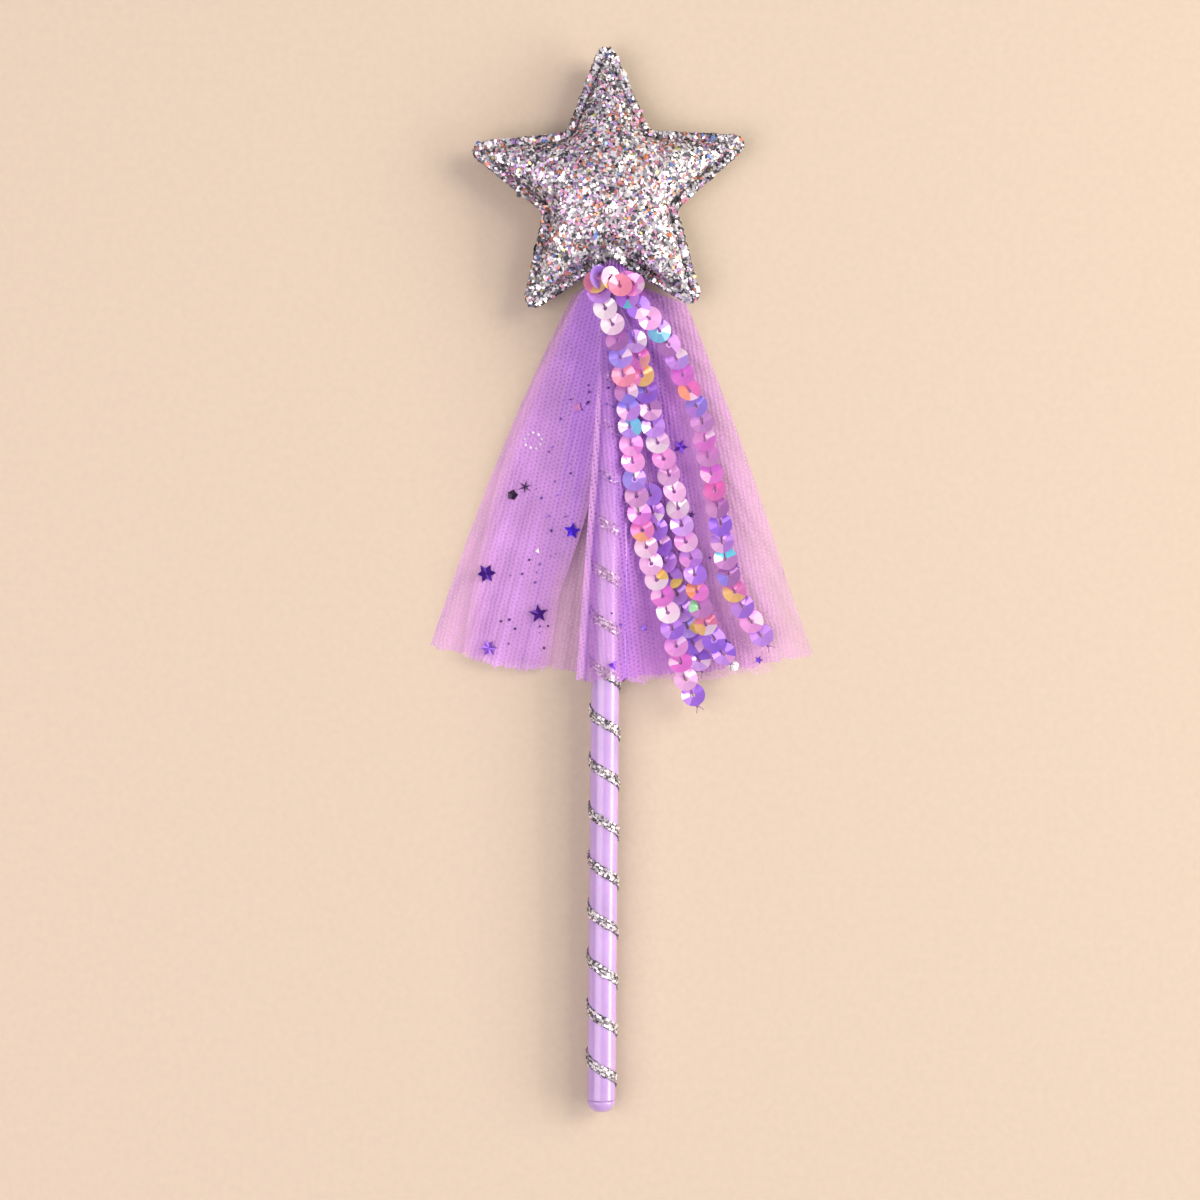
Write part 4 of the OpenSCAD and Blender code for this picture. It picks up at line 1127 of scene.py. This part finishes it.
def curve_points(route):
    """Smooth curve through a route, eight steps to a span."""
    p = np.array(route, float) * MM
    line = []
    for i in range(len(p) - 1):
        a, b, c, d = p[max(0, i - 1)], p[i], p[i + 1], p[min(len(p) - 1, i + 2)]
        for t in np.arange(8) / 8:
            bend = (2 * a - 5 * b + 4 * c - d) * t * t
            line.append(b + ((c - a) * t + bend + (3 * b - a - 3 * c + d) * t ** 3) / 2)
    return np.array(line + [p[-1]])


def chain(route, step):
    """Ends of straight links of one step along a route."""
    line = curve_points(route)
    far = np.concatenate([[0], np.cumsum(np.linalg.norm(np.diff(line, axis=0), axis=1))])
    at = np.arange(int(far[-1] / step) + 1) * step
    return np.stack([np.interp(at, far, line[:, k]) for k in range(3)], axis=1)


# Hues of a sequin's facets: three of the film itself, then three more, painted sheen of its pearl coat.
# The pale list is partly a pale film and partly painted highlight; the flash list is painted reflection.
SEQUIN_HUES = {
    "pink": ["#F08CE6", "#F5A8EC", "#E480E2", "#F8BCF2", "#EC9AE4", "#DA7CE0"],
    "pale": ["#FBDCF8", "#FDEAFB", "#F6C0F2", "#FFF4FD", "#F0A8EC", "#FACEF5"],
    "violet": ["#B07CF0", "#C894F4", "#9E6CEA", "#D6A8F6", "#BA88F0", "#A470E8"],
    "blue": ["#A696F4", "#B48EF0", "#C890EE", "#84D0F2", "#94B6F4", "#BE9CF6"],
    "mauve": ["#C688CE", "#D69CD8", "#B67CC4", "#DCA6D8", "#CA90D2", "#BC80C8"],
    "coral": ["#F594B4", "#F08CD0", "#EA84DC", "#F8AE88", "#F8B8AC", "#F6CA84"],
    "flash": ["#70D8F0", "#F6D470", "#F49C6C", "#A4E8B4", "#9888F4", "#F488D2"],
}
# Moods of the sequins down each strand; pale is partly painted highlight, flash carries painted reflections
STRAND_MOODS = {
    "left": "coral violet pale pale mauve blue coral flash blue blue pink pink blue mauve pink coral "
            "pale pale pale pink pale violet pink pink pale violet",
    "under": "violet blue violet violet blue violet violet violet blue violet violet",
    "middle": "violet coral coral violet mauve violet pale pink pale pale pale violet pale violet violet "
              "coral flash coral violet violet",
    "right": "pink pink violet pink blue mauve blue pink coral blue mauve pink mauve pink coral mauve "
             "violet blue flash flash coral violet pink violet",
}
FACETS = 8
FACET_STEPS = 3
# Sides and radius of the stitch through a sequin's hole
STITCH_SIDES = 6
STITCH_RADIUS = 0.14 * MM


def sequin_shape(strand):
    """Points and faces of a cupped disc with a hole and flat facets, and each face's facet."""
    steps = FACETS * FACET_STEPS
    half = math.pi / FACETS
    turn = np.arange(steps) * TAU / steps
    middle = (np.floor(np.arange(steps) / FACET_STEPS) + 0.5) * 2 * half
    rim, flat, hole = strand.sequin_diameter / 2, strand.sequin_flat, strand.sequin_hole / 2
    chord = flat * math.cos(half) / np.cos(turn - middle)
    slope = strand.sequin_cup / ((rim - flat) * math.cos(half))
    lift = slope * (rim * np.cos(turn - middle) - flat * math.cos(half))
    film = strand.sequin_film / 2
    at_hole, at_rim, level = np.full(steps, hole), np.full(steps, rim), np.full(steps, film)
    rings = [(at_hole, level), (chord, level), (at_rim, lift + film),
             (at_rim, lift - film), (chord, -level), (at_hole, -level)]
    points = np.concatenate([np.stack([r * np.cos(turn), r * np.sin(turn), z], axis=1) for r, z in rings])
    faces = grid_faces(len(rings), steps, around=True)
    last = (len(rings) - 1) * steps
    faces += [(last + i, last + (i + 1) % steps, (i + 1) % steps, i) for i in range(steps)]
    facet = [(f[0] % steps) // FACET_STEPS for f in faces]
    return points, faces, facet


class SequinSet:
    """The sequins of one strand, each with its facets' hues and the stitch through its hole."""

    def __init__(self, strand, rng):
        self.shape, self.shape_faces, self.facet = sequin_shape(strand)
        self.rng = rng
        self.points, self.faces, self.tints = [], [], []
        self.stitch_points, self.stitch_faces = [], []

    def hues(self, mood):
        """Facet hues in two or three broad sectors; the narrow last one is a painted reflection, pale or
        iridescent.
        """
        rng, own = self.rng, SEQUIN_HUES[mood]
        hues = [SEQUIN_HUES["mauve" if mood == "flash" else mood][rng.integers(3)]] * FACETS
        start, wide = rng.integers(FACETS), rng.integers(2, 5)
        second = own[rng.integers(6)]
        # Painted reflection: the narrow last sector takes a pale highlight hue or an iridescent flash hue
        coat = SEQUIN_HUES[("flash", "pale", "pale")[rng.integers(3)]]
        painted_flash_hue = coat[rng.integers(6)]
        narrow = rng.integers(1, 3) * (rng.random() < 0.45)
        for k in range(wide + narrow):
            hues[(start + k) % FACETS] = second if k < wide else painted_flash_hue
        return hues

    def lay(self, place, yaw, pitch, roll, mood):
        """Lays one sequin at a place, its far edge raised by a pitch and turned by a roll."""
        rng, shape = self.rng, self.shape
        ahead = np.array([math.cos(yaw) * math.cos(pitch), math.sin(yaw) * math.cos(pitch), math.sin(pitch)])
        left = np.array([-math.sin(yaw), math.cos(yaw), 0])
        up = np.cross(ahead, left)
        left, up = left * math.cos(roll) + up * math.sin(roll), up * math.cos(roll) - left * math.sin(roll)
        spin = rng.random() * TAU
        across = shape[:, :1] * math.cos(spin) - shape[:, 1:2] * math.sin(spin)
        aside = shape[:, :1] * math.sin(spin) + shape[:, 1:2] * math.cos(spin)
        start = len(self.points)
        self.points.extend(place + across * ahead + aside * left + shape[:, 2:] * up)
        self.faces.extend(tuple(start + k for k in f) for f in self.shape_faces)
        hues = self.hues(mood)
        self.tints.extend(linear(hues[k]) for k in self.facet)
        run = np.linspace(-0.2, 1, 5)[:, None]
        line = place - ahead * (1.45 * MM * run) + up * (0.16 * MM + 0.4 * MM * run)
        line = line + left * (0.15 * MM * rng.standard_normal())
        start = len(self.stitch_points)
        for spot in line:
            for a in np.arange(STITCH_SIDES) * TAU / STITCH_SIDES:
                self.stitch_points.append(spot + (math.cos(a) * left + math.sin(a) * up) * STITCH_RADIUS)
        tube = grid_faces(len(line), STITCH_SIDES, around=True) + [tuple(range(STITCH_SIDES))]
        self.stitch_faces.extend(tuple(start + k for k in f) for f in tube)


def build_strands(scene):
    """Four threads with their cupped sequins, the stitches in the holes and the knots at the ends."""
    strand = scene.wand_strand
    film = pearl_sequin_film()
    pale = polyester_thread("polyester_thread", strand.thread)
    # The stitches use the darker copy of the thread: painted shade in the holes
    dark = polyester_thread("mauve_stitching_painted_shade", strand.stitch)
    for seed, (name, route) in enumerate(ROUTES.items()):
        rng = np.random.default_rng(SEEDS["strands"] + seed)
        moods = STRAND_MOODS[name].split()
        links = chain(route, 2 * strand.sequin_pitch)
        sewn = SequinSet(strand, rng)
        for number in range(FIRST_SEQUIN[name], 2 * (len(links) - 1)):
            i, part = divmod(number, 2)
            way = links[i + 1] - links[i]
            way = way / np.linalg.norm(way)
            place = links[i] + (links[i + 1] - links[i]) * (0.25 + 0.5 * part if number else 0.42)
            pitch = math.asin(way[2]) + strand.tilt + math.radians(4) * rng.standard_normal()
            roll = math.radians(7) * rng.standard_normal()
            mood = moods[min(number - FIRST_SEQUIN[name], len(moods) - 1)]
            sewn.lay(place, math.atan2(way[1], way[0]), pitch, roll, mood)
        for x, y, z, heading, pitch, roll, mood in BUNCHED[name]:
            sewn.lay(np.array([x, y, z]) * MM, *np.radians([heading, pitch, roll]), mood)
        body = f"{name}_strand"
        sequins = make_piece(
            f"{name}_sequins_film", sewn.points, sewn.faces, film, False, sewn.tints)
        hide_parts(f"{name}_sequins")
        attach(sequins, body)
        stitches = make_piece(f"{name}_stitches", sewn.stitch_points, sewn.stitch_faces, dark)
        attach(stitches, body)
        curve = bpy.data.curves.new(f"{name}_thread_line", "CURVE")
        curve.dimensions = "3D"
        curve.bevel_depth = strand.thread_diameter / 2
        curve.bevel_resolution = 2
        middles = (links[:-1] + links[1:]) / 2
        run = np.concatenate([np.stack([links[:-1], middles], axis=1).reshape(-1, 3), links[-1:]])
        spline = curve.splines.new("POLY")
        spline.points.add(len(run) - 1)
        spline.points.foreach_set("co", np.column_stack([run, np.ones(len(run))]).ravel())
        thread = bpy.data.objects.new(f"{name}_thread_line", curve)
        thread.data.materials.append(pale)
        scene.collection.objects.link(thread)
        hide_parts(f"{name}_thread")
        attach(thread, body)
        knot = build_knot(strand, f"{name}_knot_tied", links, pale)
        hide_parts(f"{name}_knot")
        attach(knot, body)


def build_knot(strand, name, links, material):
    """A lumpy overhand knot with two cut tails."""
    way = links[-1] - links[-2]
    way = way / np.linalg.norm(way)
    middle = links[-1] + way * (strand.knot_diameter / 2 + 0.05 * MM)
    rows, sides, tail_rows, tail_sides = 10, 14, 4, 5
    tail_reach, tail_radius = 2.2 * MM, 0.13 * MM
    up = np.array([0, 0, 1.0])
    points = []
    for tall in np.linspace(-0.98, 0.98, rows) * math.pi / 2:
        for a in np.arange(sides) * TAU / sides:
            out = np.array([math.cos(tall) * math.cos(a), math.cos(tall) * math.sin(a), math.sin(tall)])
            lump = 1 + 0.12 * math.sin(3 * a + 4 * tall) - 0.1 * abs(math.sin(2 * tall + a))
            points.append(middle + out * strand.knot_diameter / 2 * lump * 0.95)
    faces = grid_faces(rows, sides, around=True)
    faces += [tuple(range(sides))[::-1], tuple((rows - 1) * sides + i for i in range(sides))]
    for turn in (0.5, -0.6):
        side = np.cross(way, up)
        tail = way * math.cos(turn) + side * math.sin(turn)
        start = len(points)
        for t in np.linspace(0.3, 1, tail_rows):
            for a in np.arange(tail_sides) * TAU / tail_sides:
                ring = np.cross(tail, up) * math.cos(a) + up * math.sin(a)
                points.append(middle + tail * (tail_reach * t) + ring * tail_radius)
        faces += [tuple(start + k for k in f) for f in grid_faces(tail_rows, tail_sides, around=True)]
        end = start + (tail_rows - 1) * tail_sides
        faces.append(tuple(end + k for k in range(tail_sides)))
    return make_piece(name, points, faces, material)


def build_stage(scene):
    """Pale floor, soft warm light from the upper right, and the camera straight above."""
    stage = scene.wand_stage
    size, under = 3.0, -0.2 * MM
    corners = [(-size, -size, under), (size, -size, under), (size, size, under), (-size, size, under)]
    floor = make_piece("pale_floor", corners, [(0, 1, 2, 3)], painted_paper(stage))
    lights = (
        ("key_light", (1.1, 0.5, 0.98), (0.75, 0.75), stage.key_power, "#FFF3E4"),
        ("window_light", (1.25, -0.16, 0.5), (0.45, 1.3), stage.window_power, "#FFF6F0"),
        ("fill_light", (-0.6, -0.3, 0.9), (1.0, 1.0), stage.fill_power, "#FFF1F0"),
    )
    target = np.array([0, -0.1, 0])
    for name, place, wide, power, code in lights:
        light = bpy.data.lights.new(name, "AREA")
        light.energy = power
        light.shape = "RECTANGLE"
        light.size, light.size_y = wide
        light.color = linear(code)[:3]
        made = bpy.data.objects.new(name, light)
        made.location = place
        away = np.array(place) - target
        made.rotation_euler = (math.asin(-away[1] / np.linalg.norm(away)), math.atan2(away[0], away[2]), 0)
        scene.collection.objects.link(made)
    world = bpy.data.worlds.new("soft_studio")
    world.use_nodes = True
    tree = world.node_tree
    tree.nodes.clear()
    place = add(tree, "ShaderNodeTexCoord")
    way = add(tree, "ShaderNodeSeparateXYZ", [("Vector", place.outputs["Generated"])])
    sky = add(
        tree, "ShaderNodeValToRGB", [("Fac", way.outputs["X"])],
        stops=[(0.0, linear("#B9B0BE")), (0.45, linear("#E6E2E2")), (0.8, linear("#FFF8EE"))])
    back = add(tree, "ShaderNodeBackground", [("Color", sky.outputs[0])], Strength=0.68)
    add(tree, "ShaderNodeOutputWorld", [("Surface", back.outputs[0])])
    scene.world = world
    scene.view_settings.view_transform = "Standard"
    camera = bpy.data.cameras.new("view")
    camera.lens = stage.lens
    camera.sensor_fit = "HORIZONTAL"
    camera.sensor_width = 36
    camera.clip_end = 50
    made = bpy.data.objects.new("view", camera)
    height = stage.view_width * stage.lens / camera.sensor_width + scene.wand_star.seam_height
    made.location = (stage.view_x, stage.view_y, height)
    made.rotation_euler = (0, 0, stage.roll)
    scene.collection.objects.link(made)
    scene.camera = made


class WAND_OT_stage(bpy.types.Operator):
    """Adds the floor, the lights and the camera"""

    bl_idname = "wand.stage"
    bl_label = "Stage"

    def execute(self, context):
        build_stage(context.scene)
        return {"FINISHED"}


class WAND_OT_strands(bpy.types.Operator):
    """Adds the four strands of sequins"""

    bl_idname = "wand.strands"
    bl_label = "Sequin strands"

    def execute(self, context):
        build_strands(context.scene)
        return {"FINISHED"}


class WAND_OT_star(bpy.types.Operator):
    """Adds the padded glitter star"""

    bl_idname = "wand.star"
    bl_label = "Padded star"

    def execute(self, context):
        build_star(context.scene)
        return {"FINISHED"}


class WAND_OT_stick(bpy.types.Operator):
    """Adds the plastic tube and its end plug"""

    bl_idname = "wand.stick"
    bl_label = "Stick"

    def execute(self, context):
        build_stick(context.scene)
        return {"FINISHED"}


class WAND_OT_ribbon(bpy.types.Operator):
    """Adds the silver braid round the stick"""

    bl_idname = "wand.ribbon"
    bl_label = "Glitter ribbon"

    def execute(self, context):
        build_ribbon(context.scene)
        return {"FINISHED"}


class WAND_OT_skirt(bpy.types.Operator):
    """Adds the tulle panels, their gather and the band"""

    bl_idname = "wand.skirt"
    bl_label = "Tulle skirt"

    def execute(self, context):
        build_skirt(context.scene)
        return {"FINISHED"}


class WAND_OT_confetti(bpy.types.Operator):
    """Adds the foil confetti on the tulle"""

    bl_idname = "wand.confetti"
    bl_label = "Confetti"

    def execute(self, context):
        build_confetti(context.scene)
        return {"FINISHED"}


SETTINGS = {
    "wand_stick": StickSettings,
    "wand_ribbon": RibbonSettings,
    "wand_star": StarSettings,
    "wand_skirt": SkirtSettings,
    "wand_strand": StrandSettings,
    "wand_stage": StageSettings,
}
OPERATORS = (
    WAND_OT_stage, WAND_OT_strands, WAND_OT_star, WAND_OT_stick, WAND_OT_ribbon, WAND_OT_skirt,
    WAND_OT_confetti,
)


class WAND_PT_pieces(bpy.types.Panel):
    """Lists the wand's pieces in the sidebar"""

    bl_idname = "WAND_PT_pieces"
    bl_label = "Toy magic wand"
    bl_space_type = "VIEW_3D"
    bl_region_type = "UI"
    bl_category = "Wand"

    def draw(self, context):
        for operator in OPERATORS:
            self.layout.operator(operator.bl_idname)
        for name in SETTINGS:
            box = self.layout.box()
            for key in SETTINGS[name].__annotations__:
                box.prop(getattr(context.scene, name), key)


def register():
    for group in SETTINGS.values():
        bpy.utils.register_class(group)
    for name, group in SETTINGS.items():
        setattr(bpy.types.Scene, name, bpy.props.PointerProperty(type=group))
    for made in OPERATORS + (WAND_PT_pieces,):
        bpy.utils.register_class(made)


def unregister():
    for made in (WAND_PT_pieces,) + OPERATORS[::-1]:
        bpy.utils.unregister_class(made)
    for name, group in SETTINGS.items():
        delattr(bpy.types.Scene, name)
        bpy.utils.unregister_class(group)


def main():
    """Builds the wand and its stage."""
    register()
    bpy.ops.wand.stage()
    bpy.ops.wand.strands()
    bpy.ops.wand.star()
    bpy.ops.wand.stick()
    bpy.ops.wand.ribbon()
    bpy.ops.wand.skirt()
    bpy.ops.wand.confetti()


if __name__ == "__main__":
    main()
